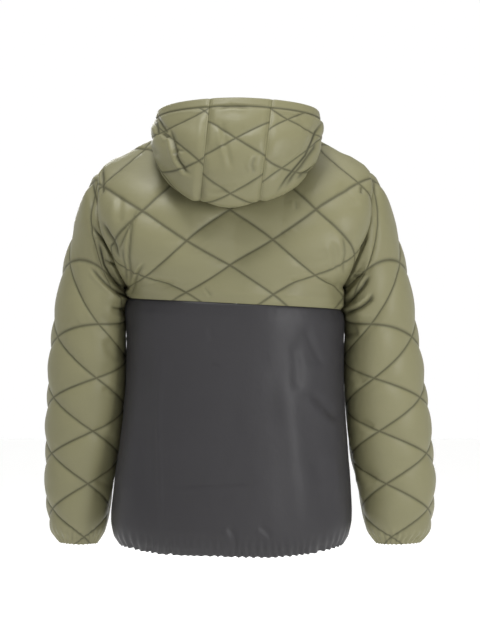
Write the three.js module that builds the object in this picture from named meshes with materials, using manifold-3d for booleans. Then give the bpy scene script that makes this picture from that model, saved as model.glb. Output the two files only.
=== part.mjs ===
// A hooded, diamond-quilted jacket, filled out as it hangs on a wearer, built panel by panel.
// Units are millimetres. The wearer faces -Y, +X is the wearer's left and +Z is up.
// The origin is the middle of the neck, level with the neck ends of the shoulder seams.
import * as THREE from "three";
import { mergeVertices } from "three/addons/utils/BufferGeometryUtils.js";
import Module from "manifold-3d";

// Driving sizes
const wall = 3; // pressed cloth and padding at a seam
const plainLoft = 3; // how much the unquilted lower cloth swells away from its seams
const seamGap = 0.3; // between two sewn pieces
const quilt = { halfWide: 74, halfHigh: 47, loft: 7.5 }; // diamonds are 148 wide and 94 high
const cells = 3; // mesh columns and rows in half a diamond
const columnPitch = quilt.halfWide / cells;
const rowPitch = quilt.halfHigh / cells;

const armpitZ = -280;
const yokeSeam = { z: -314, rise: 12 }; // the colour seam, and how much higher it is at the left side
const shoulderTip = { x: 238, z: -80 };
const armhole = { bottomX: 188, halfDeep: 78 };
const neck = { halfWide: 88, backY: 62, backZ: -20, frontY: -88, frontZ: -78, turnStep: 30 };
const frontGap = 6.5; // from the middle to each front edge, over the zip

// Rings of the trunk: half width, depth behind and in front of the side seam, and sideways lean.
const trunkRings = [
  { z: -280, halfWide: 188, back: 145, front: 130, lean: 0 },
  { z: -340, halfWide: 187, back: 143, front: 130, lean: 0 },
  { z: -420, halfWide: 187, back: 140, front: 128, lean: 0 },
  { z: -500, halfWide: 191, back: 141, front: 128, lean: 1 },
  { z: -580, halfWide: 199, back: 145, front: 130, lean: 3 },
  { z: -650, halfWide: 206, back: 149, front: 132, lean: 5 },
  { z: -700, halfWide: 208, back: 150, front: 133, lean: 6 },
  { z: -725, halfWide: 204, back: 146, front: 129, lean: 6 },
  { z: -741, halfWide: 194, back: 136, front: 120, lean: 6 },
];
const trunkSquareness = 2.35; // 2 is an ellipse

// Rows of the lower cloth at the hem, and how full its gathers are there, in millimetres.
const hemRows = [
  { z: -741, gather: 2.6 },
  { z: -733, gather: 2.8 },
  { z: -724, gather: 2.2 },
  { z: -711, gather: 1 },
];
const hemTopZ = -696;
const lowerRows = 13; // from there up to the colour seam
const band = { clear: 1, thick: 2, below: 1.5, toZ: -731 }; // the elastic inside the hem and the cuffs

// Broad soft folds of the lower back: where each starts and ends, how wide it is and how far it lifts.
const lowerFolds = [
  { topX: 92, topZ: -330, bottomX: 120, bottomZ: -690, width: 34, lift: 2.6 },
  { topX: -10, topZ: -420, bottomX: 6, bottomZ: -720, width: 40, lift: 1.6 },
  { topX: -112, topZ: -345, bottomX: -168, bottomZ: -500, width: 20, lift: 2.4 },
  { topX: -92, topZ: -520, bottomX: -112, bottomZ: -720, width: 30, lift: 2.2 },
  { topX: 168, topZ: -430, bottomX: 176, bottomZ: -690, width: 18, lift: 2 },
];

// Middle of the back and of the front, from the armpit level up to the neck seam.
const backProfile = [
  { z: -280, y: 145 },
  { z: -230, y: 144 },
  { z: -180, y: 138 },
  { z: -130, y: 126 },
  { z: -80, y: 104 },
  { z: -45, y: 82 },
  { z: -20, y: 62 },
];
const frontProfile = [
  { z: -280, y: -130 },
  { z: -230, y: -131 },
  { z: -180, y: -127 },
  { z: -130, y: -116 },
  { z: -100, y: -102 },
  { z: -78, y: -88 },
];

// Sleeve rings: the outer and inner edge seen from behind, the middle in depth and the half depth.
// The first ring is the armhole. The sleeve hangs down beside the trunk and a little forward.
const sleeveRings = [
  { outX: 238, outZ: -80, inX: 188, inZ: -280, midY: 0, halfDeep: 78 },
  { outX: 257, outZ: -110, inX: 200, inZ: -291, midY: -1, halfDeep: 78 },
  { outX: 272, outZ: -148, inX: 203, inZ: -303, midY: -2, halfDeep: 77 },
  { outX: 285, outZ: -190, inX: 202, inZ: -320, midY: -3, halfDeep: 75 },
  { outX: 298, outZ: -238, inX: 201, inZ: -342, midY: -5, halfDeep: 73 },
  { outX: 312, outZ: -305, inX: 200, inZ: -376, midY: -8, halfDeep: 70 },
  { outX: 323, outZ: -390, inX: 199, inZ: -426, midY: -13, halfDeep: 67 },
  { outX: 331, outZ: -480, inX: 203, inZ: -500, midY: -20, halfDeep: 63 },
  { outX: 335, outZ: -570, inX: 212, inZ: -580, midY: -30, halfDeep: 59 },
  { outX: 335, outZ: -650, inX: 226, inZ: -655, midY: -40, halfDeep: 54 },
  { outX: 329, outZ: -703, inX: 235, inZ: -706, midY: -46, halfDeep: 47 },
  { outX: 322, outZ: -724, inX: 243, inZ: -726, midY: -48, halfDeep: 41 },
  { outX: 315, outZ: -735, inX: 250, inZ: -737, midY: -48, halfDeep: 35 },
];
const sleeveColumns = 15; // two and a half diamonds round, from the underarm seam
const sleeveSwing = { right: 20, fromZ: -330, toZ: -700, fromX: 215, toX: 325 }; // right, outer side
const cuffGathers = [2, 2.2, 1]; // fullness of the gathers in the rows from the cuff up
const sleevePress = { loft: 0.4, reach: 60, toZ: -560 }; // padding pressed thin beside the trunk

// Hood levels from the neck seam, over the fold and down the back, round the bottom of the bag and up to
// the rim: half width, depth at the sides, in front and behind. The heights run round from behind to the
// front: behind, at the side, over the shoulder, at the cheek and in front.
const hoodLevels = [
  { halfWide: 88, midY: 0, frontY: -88, backY: 62, heights: [-20, 0, 0, 0, -78] },
  { halfWide: 95, midY: 7, frontY: -91, backY: 80, heights: [8, 14, 10, -48, -68] },
  { halfWide: 107, midY: 32, frontY: -93, backY: 114, heights: [-40, 4, 16, -40, -58] },
  { halfWide: 123, midY: 66, frontY: -95, backY: 148, heights: [-106, -24, 12, -34, -48] },
  { halfWide: 134, midY: 93, frontY: -97, backY: 180, heights: [-146, -40, 8, -28, -38] },
  { halfWide: 138, midY: 97, frontY: -99, backY: 210, heights: [-106, -36, 12, -20, -28] },
  { halfWide: 138, midY: 90, frontY: -101, backY: 216, heights: [-46, -12, 20, -8, -18] },
  { halfWide: 130, midY: 72, frontY: -103, backY: 184, heights: [30, 20, 32, 6, -6] },
];
const hoodLean = { top: -10, bottom: 10, topZ: 34, bottomZ: -156 }; // the bag hangs over to the left
const hoodDrop = 3; // the right side of the rim sits this much lower
const hoodWider = 12; // and stands this much further out
const hoodRows = 27;
const hoodSide = { columns: 10, neckStep: 15, crowding: 1.25 };
const hoodCentreColumns = 2; // on each side of the middle
const hoodCrossing = 5; // rows from the rim down to a crossing on the middle line

// The closed zip, from the hem to the top of the hood's front edges
const zip = { tapeIn: 2.6, tapeOut: 18, tapeThick: 1.2, tapeClear: 0.5, chainHalf: 2.3, chainOut: 1.2 };
const slider = { half: 5, webHalf: 2.2, tall: 15, plate: 1.4, topZ: -9, crownWide: 2.4, clear: 0.7 };
const hinge = { out: 3.2, up: 1.5, hole: 1.5, rim: 1 }; // the pull's pin, from the middle of the slider
const pull = { half: 4, long: 30, thick: 1.6, bar: 1.6, windowHalf: 2.4, window: 5 };
const box = { half: 4.5, fromZ: -738, toZ: -724.8, behind: 2.3, ahead: 1.2 };

// Colours
const quilted = new THREE.MeshStandardMaterial({ color: 0x84805f, roughness: 0.5, metalness: 0 });
const plain = new THREE.MeshStandardMaterial({ color: 0x434145, roughness: 0.5, metalness: 0 });
const binding = new THREE.MeshStandardMaterial({ color: 0x1b1b1d, roughness: 0.8, metalness: 0 });
const metal = new THREE.MeshStandardMaterial({ color: 0x3a3a3c, roughness: 0.35, metalness: 0.8 });

// Small sums
const lerp = THREE.MathUtils.lerp;
const clamp = THREE.MathUtils.clamp;
const smooth = (t) => clamp(t, 0, 1) ** 2 * (3 - 2 * clamp(t, 0, 1));
const range = (count) => Array.from({ length: count }, (_, i) => i);
const mixPoint = (a, b, t) => new THREE.Vector3().lerpVectors(a, b, t);
const radians = THREE.MathUtils.degToRad;
const bell = (t) => Math.exp(-t * t);

// A curve through four values, between the middle two.
function curve(a, b, c, d, t) {
  return b + 0.5 * t * (c - a + t * (2 * a - 5 * b + 4 * c - d + t * (3 * (b - c) + d - a)));
}

// The value of a list at a place between its items, on a curve through them.
function along(values, place) {
  const last = values.length - 1;
  const p = clamp(place, 0, last);
  const i = Math.min(Math.floor(p), last - 1);
  const before = i > 0 ? values[i - 1] : 2 * values[i] - values[i + 1];
  const after = i + 2 <= last ? values[i + 2] : 2 * values[i + 1] - values[i];
  return curve(before, values[i], values[i + 1], after, p - i);
}

const between = (rows, column, place) => along(rows.map((row) => row[column]), place);

// The place between a table's rows where its z is met. The rows' z runs one way.
function placeOfZ(rows, z) {
  const down = rows[1].z < rows[0].z;
  const i = rows.findIndex((row, k) => k > 0 && (down ? z >= row.z : z <= row.z));
  if (i < 0) return rows.length - 1;
  return clamp(i - 1 + (z - rows[i - 1].z) / (rows[i].z - rows[i - 1].z), 0, rows.length - 1);
}

// The quilting's height, counted in mesh columns and rows from a crossing of two stitched lines: nothing
// on the lines, full in the middle of a diamond.
function puff(column, row) {
  const swell = (line) => 1 - (1 - 2 * Math.abs(line - Math.round(line))) ** 2.6;
  return quilt.loft * swell((column + row) / (2 * cells)) * swell((column - row) / (2 * cells));
}

// Walls

// A point of a surface with its direction away from the wearer, from points a little to each side.
function spotOn(surface, u, v, sign) {
  const nudge = 0.01;
  const across = surface(u + nudge, v).sub(surface(u - nudge, v));
  const up = surface(u, v + nudge).sub(surface(u, v - nudge));
  return { inner: surface(u, v), normal: across.cross(up).normalize().multiplyScalar(sign) };
}

// Collects the vertices and triangles of one closed wall.
class WallBuilder {
  constructor() {
    this.positions = [];
    this.heights = [];
    this.triangles = [];
  }

  addRow(points, heights = []) {
    return points.map((point, i) => {
      this.positions.push(point.x, point.y, point.z);
      this.heights.push(heights[i] ?? 0);
      return this.heights.length - 1;
    });
  }

  // Fills the strip between two rows. Rows of one length get quads, split along the lower diagonal,
  // so that a quilting line is an edge. Other rows are zipped together by their share of the length.
  fillStrip(a, b, outward = true) {
    const add = (p, q, r) => this.triangles.push(...(outward ? [p, q, r] : [p, r, q]));
    if (a.length === b.length) {
      for (let i = 0; i + 1 < a.length; i += 1) {
        const rising = this.heights[a[i]] + this.heights[b[i + 1]];
        const falling = this.heights[a[i + 1]] + this.heights[b[i]];
        if (rising <= falling) {
          add(a[i], a[i + 1], b[i + 1]);
          add(a[i], b[i + 1], b[i]);
        } else {
          add(a[i], a[i + 1], b[i]);
          add(a[i + 1], b[i + 1], b[i]);
        }
      }
      return;
    }
    let i = 0;
    let j = 0;
    while (i < a.length - 1 || j < b.length - 1) {
      const nextA = (i + 1) / (a.length - 1);
      const nextB = (j + 1) / (b.length - 1);
      if (j === b.length - 1 || (i < a.length - 1 && nextA <= nextB)) {
        add(a[i], a[i + 1], b[j]);
        i += 1;
      } else {
        add(a[i], b[j + 1], b[j]);
        j += 1;
      }
    }
  }

  signedVolume() {
    const at = (i) => new THREE.Vector3().fromArray(this.positions, 3 * i);
    let sum = 0;
    for (let i = 0; i < this.triangles.length; i += 3) {
      const [a, b, c] = this.triangles.slice(i, i + 3).map(at);
      sum += a.dot(b.cross(c));
    }
    return sum;
  }

  geometry() {
    const made = new THREE.BufferGeometry();
    made.setAttribute("position", new THREE.Float32BufferAttribute(this.positions, 3));
    made.setIndex(this.signedVolume() < 0 ? this.triangles.toReversed() : this.triangles);
    made.computeVertexNormals();
    return made;
  }
}

// The plain inside of a wall keeps every second row, with the first and the last.
const insideRows = (rows) => rows.filter((_, j) => j % 2 === 0 || j === rows.length - 1);

// Builds a closed wall from rows of {inner, outer, height}. Each row is closed on itself when round is
// true.
function closedWall(rows, round = false) {
  const builder = new WallBuilder();
  const close = (ids) => (round ? [...ids, ids[0]] : ids);
  const addOuter = (row) => builder.addRow(row.map((spot) => spot.outer), row.map((spot) => spot.height));
  const outer = rows.map((row) => close(addOuter(row)));
  const inner = insideRows(rows).map((row) => close(builder.addRow(row.map((spot) => spot.inner))));
  for (let j = 0; j + 1 < outer.length; j += 1) builder.fillStrip(outer[j], outer[j + 1]);
  for (let j = 0; j + 1 < inner.length; j += 1) builder.fillStrip(inner[j], inner[j + 1], false);
  builder.fillStrip(outer[0], inner[0], false);
  builder.fillStrip(outer.at(-1), inner.at(-1));
  if (!round) {
    builder.fillStrip(outer.map((ids) => ids[0]), inner.map((ids) => ids[0]));
    builder.fillStrip(outer.map((ids) => ids.at(-1)), inner.map((ids) => ids.at(-1)), false);
  }
  return builder.geometry();
}

// Pulls the ends of rows of spots in by half the seam gap.
function insetSeams(rows, { ends = true, first = true, last = true } = {}) {
  const pulled = rows.map((row) => row.map((spot) => ({ ...spot, inner: spot.inner.clone() })));
  const pull = (spot, towards) => {
    const step = towards.inner.clone().sub(spot.inner);
    spot.inner.addScaledVector(step, Math.min(0.4, seamGap / 2 / step.length()));
  };
  if (first) pulled[0].forEach((spot, i) => pull(spot, rows[1][i]));
  if (last) pulled.at(-1).forEach((spot, i) => pull(spot, rows.at(-2)[i]));
  if (ends) {
    pulled.forEach((row, j) => {
      pull(row[0], rows[j][1]);
      pull(row.at(-1), rows[j].at(-2));
    });
  }
  return pulled;
}

// Gives rows of spots their outer points: the pressed wall and the loft, along the spot's direction.
function thicken(rows, loftAt) {
  return rows.map((row, j) =>
    row.map((spot, i) => {
      const height = loftAt(spot, j, i);
      return { ...spot, height, outer: spot.inner.clone().addScaledVector(spot.normal, wall + height) };
    }),
  );
}

// The armhole and the sleeve

// A point of the left sleeve at a place between its rings. The turn is in degrees: 0 on the outer side,
// 90 behind and 180 under the arm. The armhole bulges outwards, and that fades over the first rings.
function sleevePoint(place, turn) {
  const value = (column) => between(sleeveRings, column, place);
  const inner = new THREE.Vector3(value("inX"), value("midY"), value("inZ"));
  const outer = new THREE.Vector3(value("outX"), value("midY"), value("outZ"));
  const low = (1 - Math.cos(radians(turn))) / 2;
  const point = mixPoint(outer, inner, low);
  point.y += value("halfDeep") * Math.sin(radians(turn));
  point.x += (shoulderTip.x - armhole.bottomX) * low * (1 - low) * (1 - smooth(place / 3));
  return point;
}

// The armhole is a polygon with a corner at each column of the sleeve, so that the trunk and the sleeve
// share its sides.
const columnTurn = 360 / sleeveColumns;

function onArmhole(cornerAt, turn) {
  const fromCorner = (((turn - 180) % columnTurn) + columnTurn) % columnTurn;
  const low = turn - fromCorner;
  return mixPoint(cornerAt(low), cornerAt(low + columnTurn), fromCorner / columnTurn);
}

const armholePoint = (turn) => onArmhole((corner) => sleevePoint(0, corner), turn);

// At the armhole seam both walls point away from the armhole's middle and a little outwards.
const armholeHeight = shoulderTip.z - armpitZ;
const armholeUp = new THREE.Vector3(shoulderTip.x - armhole.bottomX, 0, armholeHeight).normalize();

function armholeDirection(turn) {
  const cornerAt = (corner) =>
    new THREE.Vector3(0.3, Math.sin(radians(corner)), 0)
      .addScaledVector(armholeUp, Math.cos(radians(corner)))
      .normalize();
  return onArmhole(cornerAt, turn).normalize();
}

// Places between the rings for each row of the sleeve, from the cuff up, spaced evenly on the back.
function sleevePlaces() {
  const steps = 240;
  const last = sleeveRings.length - 1;
  const places = range(steps + 1).map((k) => last * (1 - k / steps));
  const points = places.map((place) => sleevePoint(place, 180 - 3 * columnTurn));
  const lengths = [0];
  points.slice(1).forEach((point, k) => lengths.push(lengths[k] + point.distanceTo(points[k])));
  const rows = Math.round(lengths.at(-1) / rowPitch);
  return range(rows + 1).map((j) => {
    const wanted = (j / rows) * lengths.at(-1);
    const k = clamp(lengths.findIndex((length) => length >= wanted - 1e-9), 1, steps);
    return lerp(places[k - 1], places[k], (wanted - lengths[k - 1]) / (lengths[k] - lengths[k - 1]));
  });
}

function swing(point, side) {
  const down = smooth((point.z - sleeveSwing.fromZ) / (sleeveSwing.toZ - sleeveSwing.fromZ));
  const outwards = clamp((point.x - sleeveSwing.fromX) / (sleeveSwing.toX - sleeveSwing.fromX), 0, 1);
  if (side < 0) point.x += sleeveSwing.right * down * outwards;
  point.x *= side;
  return point;
}

function makeSleeve(side) {
  const places = sleevePlaces();
  const surface = (turn, place) => swing(sleevePoint(clamp(place, 0, sleeveRings.length - 1), turn), side);
  const rows = places.map((place, j) => {
    const fine = j < cuffGathers.length ? 4 : 1;
    const gather = cuffGathers[j] ?? 0;
    return range(sleeveColumns * fine).map((k) => {
      const column = k / fine;
      const turn = 180 - column * columnTurn;
      const spot = spotOn(surface, turn, place, -side);
      spot.inner.addScaledVector(spot.normal, (-gather * (1 - Math.cos(2 * Math.PI * column))) / 2);
      if (j === places.length - 1) {
        spot.normal = armholeDirection(turn);
        spot.normal.x *= side;
      }
      return { ...spot, column, turn };
    });
  });
  const inset = insetSeams(rows, { ends: false, first: false });
  const crossingRow = 4;
  const loftAt = (spot, j) => {
    if (spot.column === 0 || j === 0 || j === inset.length - 1) return 0;
    const inwards = smooth((-side * spot.normal.x - 0.2) / 0.5);
    const beside = smooth((spot.inner.z - sleevePress.toZ) / sleevePress.reach);
    const press = lerp(1, sleevePress.loft, inwards * Math.max(beside, 0.6));
    return puff(spot.column, j - crossingRow) * press * smooth(j / 2.5);
  };
  return closedWall(thicken(inset, loftAt), true);
}

// The dark elastic inside each cuff: a plain band just inside the gathers
function makeCuffBinding(side) {
  const surface = (turn, place) => swing(sleevePoint(clamp(place, 0, sleeveRings.length - 1), turn), side);
  const insideBy = cuffGathers[1] + 2 * band.clear + band.thick;
  const [cuff, next] = sleevePlaces();
  const rows = [band.below, 0].map((below, j) =>
    range(2 * sleeveColumns).map((k) => {
      const spot = spotOn(surface, 180 - (k / 2) * columnTurn, lerp(cuff, next, 0.6 * j), -side);
      spot.inner.addScaledVector(spot.normal, -insideBy);
      spot.inner.z -= below;
      return { ...spot, height: 0, outer: spot.inner.clone().addScaledVector(spot.normal, band.thick) };
    }),
  );
  return closedWall(rows, true);
}

// The trunk below the armpits

// A point of the trunk's ring at height z. q runs from the middle (0) to the side seam (1).
function trunkPoint(q, z, backwards, side) {
  const place = placeOfZ(trunkRings, z);
  const turn = (Math.PI / 2) * (1 - q);
  const halfWide = between(trunkRings, "halfWide", place);
  const behind = q <= 1 ? backwards : !backwards;
  const deep = between(trunkRings, behind ? "back" : "front", place);
  const n = trunkSquareness;
  const spread = Math.abs(Math.cos(turn) / halfWide) ** n + Math.abs(Math.sin(turn) / deep) ** n;
  const reach = spread ** (-1 / n);
  const lean = between(trunkRings, "lean", place) * (backwards ? 1 : smooth(q / 0.4));
  const x = side * reach * Math.cos(turn) + lean;
  return new THREE.Vector3(x, (backwards ? 1 : -1) * reach * Math.sin(turn), z);
}

// Columns of a half row, from the middle to the side. They keep the quilting's pitch near the middle
// and share what is left. The answer gives the share q for any column number.
const halfColumns = 10;
const evenColumns = 6;

function columnShares(pointAt, start) {
  const samples = range(81).map((k) => Math.sin((Math.PI / 2) * (k / 80)));
  const points = samples.map(pointAt);
  const lengths = [0];
  points.slice(1).forEach((point, k) => lengths.push(lengths[k] + point.distanceTo(points[k])));
  const evenEnd = evenColumns * columnPitch;
  return (column) => {
    const even = column < 1 ? lerp(start, columnPitch, column) : column * columnPitch;
    const spread = lerp(evenEnd, lengths.at(-1), (column - evenColumns) / (halfColumns - evenColumns));
    const wanted = column <= evenColumns ? even : spread;
    const k = clamp(lengths.findIndex((length) => length >= wanted - 1e-9), 1, 80);
    const share = (wanted - lengths[k - 1]) / (lengths[k] - lengths[k - 1]);
    return lerp(samples[k - 1], samples[k], clamp(share, 0, 1));
  };
}

// The panels of the trunk: which way they face, their sides and how far from the middle they start
const back = { backwards: true, sides: [1, -1], start: 0 };
const frontLeft = { backwards: false, sides: [1], start: frontGap };
const frontRight = { backwards: false, sides: [-1], start: frontGap };

const outwardSign = (backwards, side) => (backwards ? -side : side);

function trunkHalfRow(zAt, { backwards, side, start, fine = 1 }) {
  const shareOf = columnShares((q) => trunkPoint(q, zAt(q), backwards, side), start);
  const surface = (q, z) => trunkPoint(q, z, backwards, side);
  return range(halfColumns * fine + 1).map((k) => {
    const column = k / fine;
    const q = shareOf(column);
    return { ...spotOn(surface, q, zAt(q), outwardSign(backwards, side)), column: side * column };
  });
}

// Joins the halves of the back, or gives the one half of a front.
function panelRow(sides, halfRow) {
  const halves = sides.map(halfRow);
  if (sides.length === 1) return halves[0];
  return [...halves[1].slice(1).reverse(), ...halves[0]];
}

const seamZ = (side) => (q) => yokeSeam.z + yokeSeam.rise * q * side;

// How far the lower cloth swells: nothing at its seams, with the broad folds of the back on top.
function lowerSwell(point, backwards) {
  const fromSeam = Math.min(yokeSeam.z - point.z, point.z - hemRows[0].z);
  const swell = plainLoft * smooth((fromSeam - 2) / 40);
  const lift = lowerFolds.reduce((sum, fold) => {
    const share = (fold.topZ - point.z) / (fold.topZ - fold.bottomZ);
    const middle = lerp(fold.topX, fold.bottomX, share);
    const ends = smooth(share * 4) * smooth((1 - share) * 4);
    return sum + fold.lift * ends * Math.exp(-(((point.x - middle) / fold.width) ** 2));
  }, 0);
  return swell + (backwards ? lift : 0);
}

function lowerPanelRows({ backwards, sides, start }) {
  const shape = (side, fine) => ({ backwards, side, start, fine });
  const gathered = hemRows.map(({ z, gather }) =>
    panelRow(sides, (side) =>
      trunkHalfRow(() => z, shape(side, 4)).map((spot) => {
        const fullness = backwards ? gather : gather * smooth((Math.abs(spot.column) - 1) / 1.5);
        const wave = (1 - Math.cos(2 * Math.PI * spot.column)) / 2;
        spot.inner.addScaledVector(spot.normal, -fullness * wave);
        return spot;
      }),
    ),
  );
  const above = range(lowerRows + 1).map((row) =>
    panelRow(sides, (side) =>
      trunkHalfRow((q) => lerp(hemTopZ, seamZ(side)(q), row / lowerRows), shape(side, 1)),
    ),
  );
  return [...gathered, ...above];
}

function makeLower(panel) {
  const rows = insetSeams(lowerPanelRows(panel), { first: false });
  const loftAt = (spot, j, i) => {
    const atSeam = j === 0 || j === rows.length - 1 || i === 0 || i === rows[j].length - 1;
    return atSeam ? 0 : lowerSwell(spot.inner, panel.backwards);
  };
  return closedWall(thicken(rows, loftAt));
}

// The dark elastic edge inside the curled hem: a plain band just inside the gathers
function makeHemBinding() {
  const insideBy = hemRows[1].gather + band.clear + band.thick;
  const bandRow = (z) => {
    const half = (backwards, side, start) =>
      trunkHalfRow(() => z, { backwards, side, start, fine: 2 }).map((spot) => {
        spot.inner.addScaledVector(spot.normal, -insideBy);
        return spot;
      });
    const frontLeft = half(false, 1, 3 * frontGap);
    const backLeft = half(true, 1, 0).reverse();
    const backRight = half(true, -1, 0);
    const frontRight = half(false, -1, 3 * frontGap).reverse();
    return [...frontLeft, ...backLeft.slice(1), ...backRight.slice(1), ...frontRight.slice(1)];
  };
  const rows = [hemRows[0].z - band.below, (hemRows[0].z + band.toZ) / 2, band.toZ].map(bandRow);
  const thickened = rows.map((row) =>
    row.map((spot) => {
      const outer = spot.inner.clone().addScaledVector(spot.normal, band.thick);
      return { ...spot, height: 0, outer };
    }),
  );
  return closedWall(thickened);
}

// The yoke, above the colour seam

function neckPoint(turn, backwards) {
  const cornerAt = (corner) => {
    const cos = Math.max(0, Math.cos(radians(corner)));
    const y = (backwards ? neck.backY : neck.frontY) * cos;
    const z = (backwards ? neck.backZ : neck.frontZ) * cos ** 1.5;
    return new THREE.Vector3(neck.halfWide * Math.sin(radians(corner)), y, z);
  };
  const low = Math.min(Math.floor(turn / neck.turnStep), 90 / neck.turnStep - 1) * neck.turnStep;
  return mixPoint(cornerAt(low), cornerAt(low + neck.turnStep), (turn - low) / neck.turnStep);
}

// The top edge of a front or back from the middle (0) round the neck to the shoulder tip (1)
const tip = armholePoint(0);
const neckShare = neck.halfWide / tip.x;
const neckColumns = 90 / neck.turnStep;

function topEdge(q, backwards) {
  if (q <= neckShare) return neckPoint((90 * q) / neckShare, backwards);
  const share = (q - neckShare) / (1 - neckShare);
  const x = lerp(neck.halfWide, tip.x, share);
  return new THREE.Vector3(x, 0, tip.z * share + 9 * Math.sin(Math.PI * share));
}

const upperRows = 180 / (columnTurn / 2); // from the armpit level to the top
const evenRows = 12; // of these, the rows that keep the quilting's pitch
const seamRows = 2; // rows of the yoke below the armpit level
const neckSpread = 16;

function middleZ(row, topZ) {
  if (row <= evenRows) return armpitZ + row * rowPitch;
  return lerp(armpitZ + evenRows * rowPitch, topZ, (row - evenRows) / (upperRows - evenRows));
}

const upperTurn = (row, backwards) => 180 + (backwards ? -1 : 1) * row * (columnTurn / 2);

// A point of the upper front or back: q runs from the middle to the armhole, row from the armpit level up.
// It blends four edges: the trunk's ring, the top edge, the middle line and the armhole.
function upperPoint(q, row, backwards, side) {
  const topShare = (row / upperRows) ** 2.2;
  const profile = backwards ? backProfile : frontProfile;
  const ringPoint = (share) => {
    const y = profile[0].y * (1 - clamp(share, 0, 1) ** trunkSquareness) ** (1 / trunkSquareness);
    return new THREE.Vector3(share * armhole.bottomX, y, armpitZ);
  };
  const z = middleZ(row, profile.at(-1).z);
  const middle = new THREE.Vector3(0, between(profile, "y", placeOfZ(profile, z)), z);
  const level = (share) => mixPoint(ringPoint(share), topEdge(share, backwards), topShare);
  const sides = mixPoint(middle, armholePoint(upperTurn(row, backwards)), q);
  const point = level(q).add(sides).sub(mixPoint(level(0), level(1), q));
  // Beside the low front neck the cloth is led away from the neck seam.
  const beside = backwards ? 0 : neckSpread * bell((q - neckShare) / 0.17) * bell((row - 13) / 2.5);
  point.x += beside * (1 - (row / upperRows) ** 16);
  point.x *= side;
  return point;
}

// At the neck seam the walls point outwards, and at the shoulder seam upwards.
function topDirection(point, column) {
  if (column < neckColumns) return new THREE.Vector3(point.x, point.y, 0.3 * neck.halfWide).normalize();
  const lean = column === neckColumns ? 3.6 : 0.42;
  return new THREE.Vector3(Math.sign(point.x) * lean, 0, 1).normalize();
}

function upperHalfRow(row, { backwards, side, start }) {
  const shareOf = columnShares((q) => upperPoint(q, row, backwards, 1), start);
  const topBlend = smooth((row / upperRows - 0.5) / 0.5);
  const neckStart = (start / neckPoint(neck.turnStep, backwards).x) * (neckShare / neckColumns);
  const topShareOf = (column) => {
    if (column === 0) return neckStart;
    if (column <= neckColumns) return (neckShare * column) / neckColumns;
    return lerp(neckShare, 1, (column - neckColumns) / (halfColumns - neckColumns));
  };
  const surface = (q, r) => upperPoint(clamp(q, 0, 1), clamp(r, 0, upperRows), backwards, side);
  return range(halfColumns + 1).map((column) => {
    const q = lerp(shareOf(column), topShareOf(column), topBlend);
    const spot = spotOn(surface, q, row, outwardSign(backwards, side));
    if (row === upperRows) spot.normal = topDirection(spot.inner, column);
    if (column === halfColumns) {
      spot.normal = armholeDirection(upperTurn(row, backwards));
      spot.normal.x *= side;
    }
    return { ...spot, column: side * column };
  });
}

function yokePanelRows({ backwards, sides, start }) {
  const below = range(seamRows).map((row) =>
    panelRow(sides, (side) =>
      trunkHalfRow((q) => lerp(seamZ(side)(q), armpitZ, row / seamRows), { backwards, side, start }),
    ),
  );
  const above = range(upperRows + 1).map((row) =>
    panelRow(sides, (side) => upperHalfRow(row, { backwards, side, start })),
  );
  return [...below, ...above];
}

function makeYoke(panel) {
  const rows = insetSeams(yokePanelRows(panel));
  const loftAt = (spot, j, i) => {
    if (j === 0 || j === rows.length - 1 || i === 0 || i === rows[j].length - 1) return 0;
    const nearNeck = smooth((6 - Math.abs(spot.column)) / 2.5) * smooth(1 - (rows.length - 1 - j) / 5);
    const underArm = smooth((Math.abs(spot.inner.x) - 150) / 30) * smooth((-225 - spot.inner.z) / 30);
    const press = (1 - 0.9 * nearNeck) * (1 - 0.75 * underArm);
    return puff(spot.column, j - 2 * seamRows) * press;
  };
  return closedWall(thicken(rows, loftAt));
}

// The hood

// The turn of a hood column at a level, in degrees from the middle of the back. At the neck the columns
// are evenly spaced between the corners of the neck seam, and further on they crowd towards the back.
const hoodEvenness = [1, 0.9, 0.5, 0.2, 0, 0, 0, 0];

function hoodTurn(level, column) {
  const { halfWide } = hoodLevels[level];
  const turnOfX = (x) => THREE.MathUtils.radToDeg(Math.asin(x / halfWide));
  const firstCornerX = neck.halfWide * Math.sin(radians(neck.turnStep));
  const isLast = column === hoodCentreColumns + hoodSide.columns;
  const even = isLast ? 180 - (neck.turnStep * frontGap) / firstCornerX : column * hoodSide.neckStep;
  const share = clamp((column - hoodCentreColumns) / hoodSide.columns, 0, 1) ** hoodSide.crowding;
  const centreTurn = turnOfX(Math.min(column, hoodCentreColumns) * columnPitch);
  return lerp(lerp(centreTurn, 180 - turnOfX(frontGap), share), even, hoodEvenness[level]);
}

function hoodPoint(level, column, side) {
  const row = hoodLevels[level];
  const turn = hoodTurn(level, column);
  if (level === 0) {
    const point = neckPoint(turn <= 90 ? turn : 180 - turn, turn <= 90);
    point.x *= side;
    return point;
  }
  const [backZ, ...sideHeights] = row.heights;
  const cos = Math.cos(radians(turn));
  const y = lerp(row.midY, cos >= 0 ? row.backY : row.frontY, Math.abs(cos));
  const behind = lerp(sideHeights[0], backZ, Math.max(cos, 0) ** 0.9);
  const ahead = along(sideHeights, (turn - 90) / 30);
  const upper = smooth((level - 4) / 3);
  const drop = side < 0 ? hoodDrop * upper * Math.sin(radians(clamp(1.2 * turn, 0, 180))) : 0;
  const z = (cos >= 0 ? behind : ahead) - drop;
  const leanShare = (hoodLean.topZ - z) / (hoodLean.topZ - hoodLean.bottomZ);
  const lean = lerp(hoodLean.top, hoodLean.bottom, leanShare) * Math.max(cos, 0) * smooth((level - 1) / 3);
  const halfWide = row.halfWide + (side < 0 ? hoodWider * upper : 0);
  return new THREE.Vector3(side * halfWide * Math.sin(radians(turn)) + lean, y, z);
}

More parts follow.
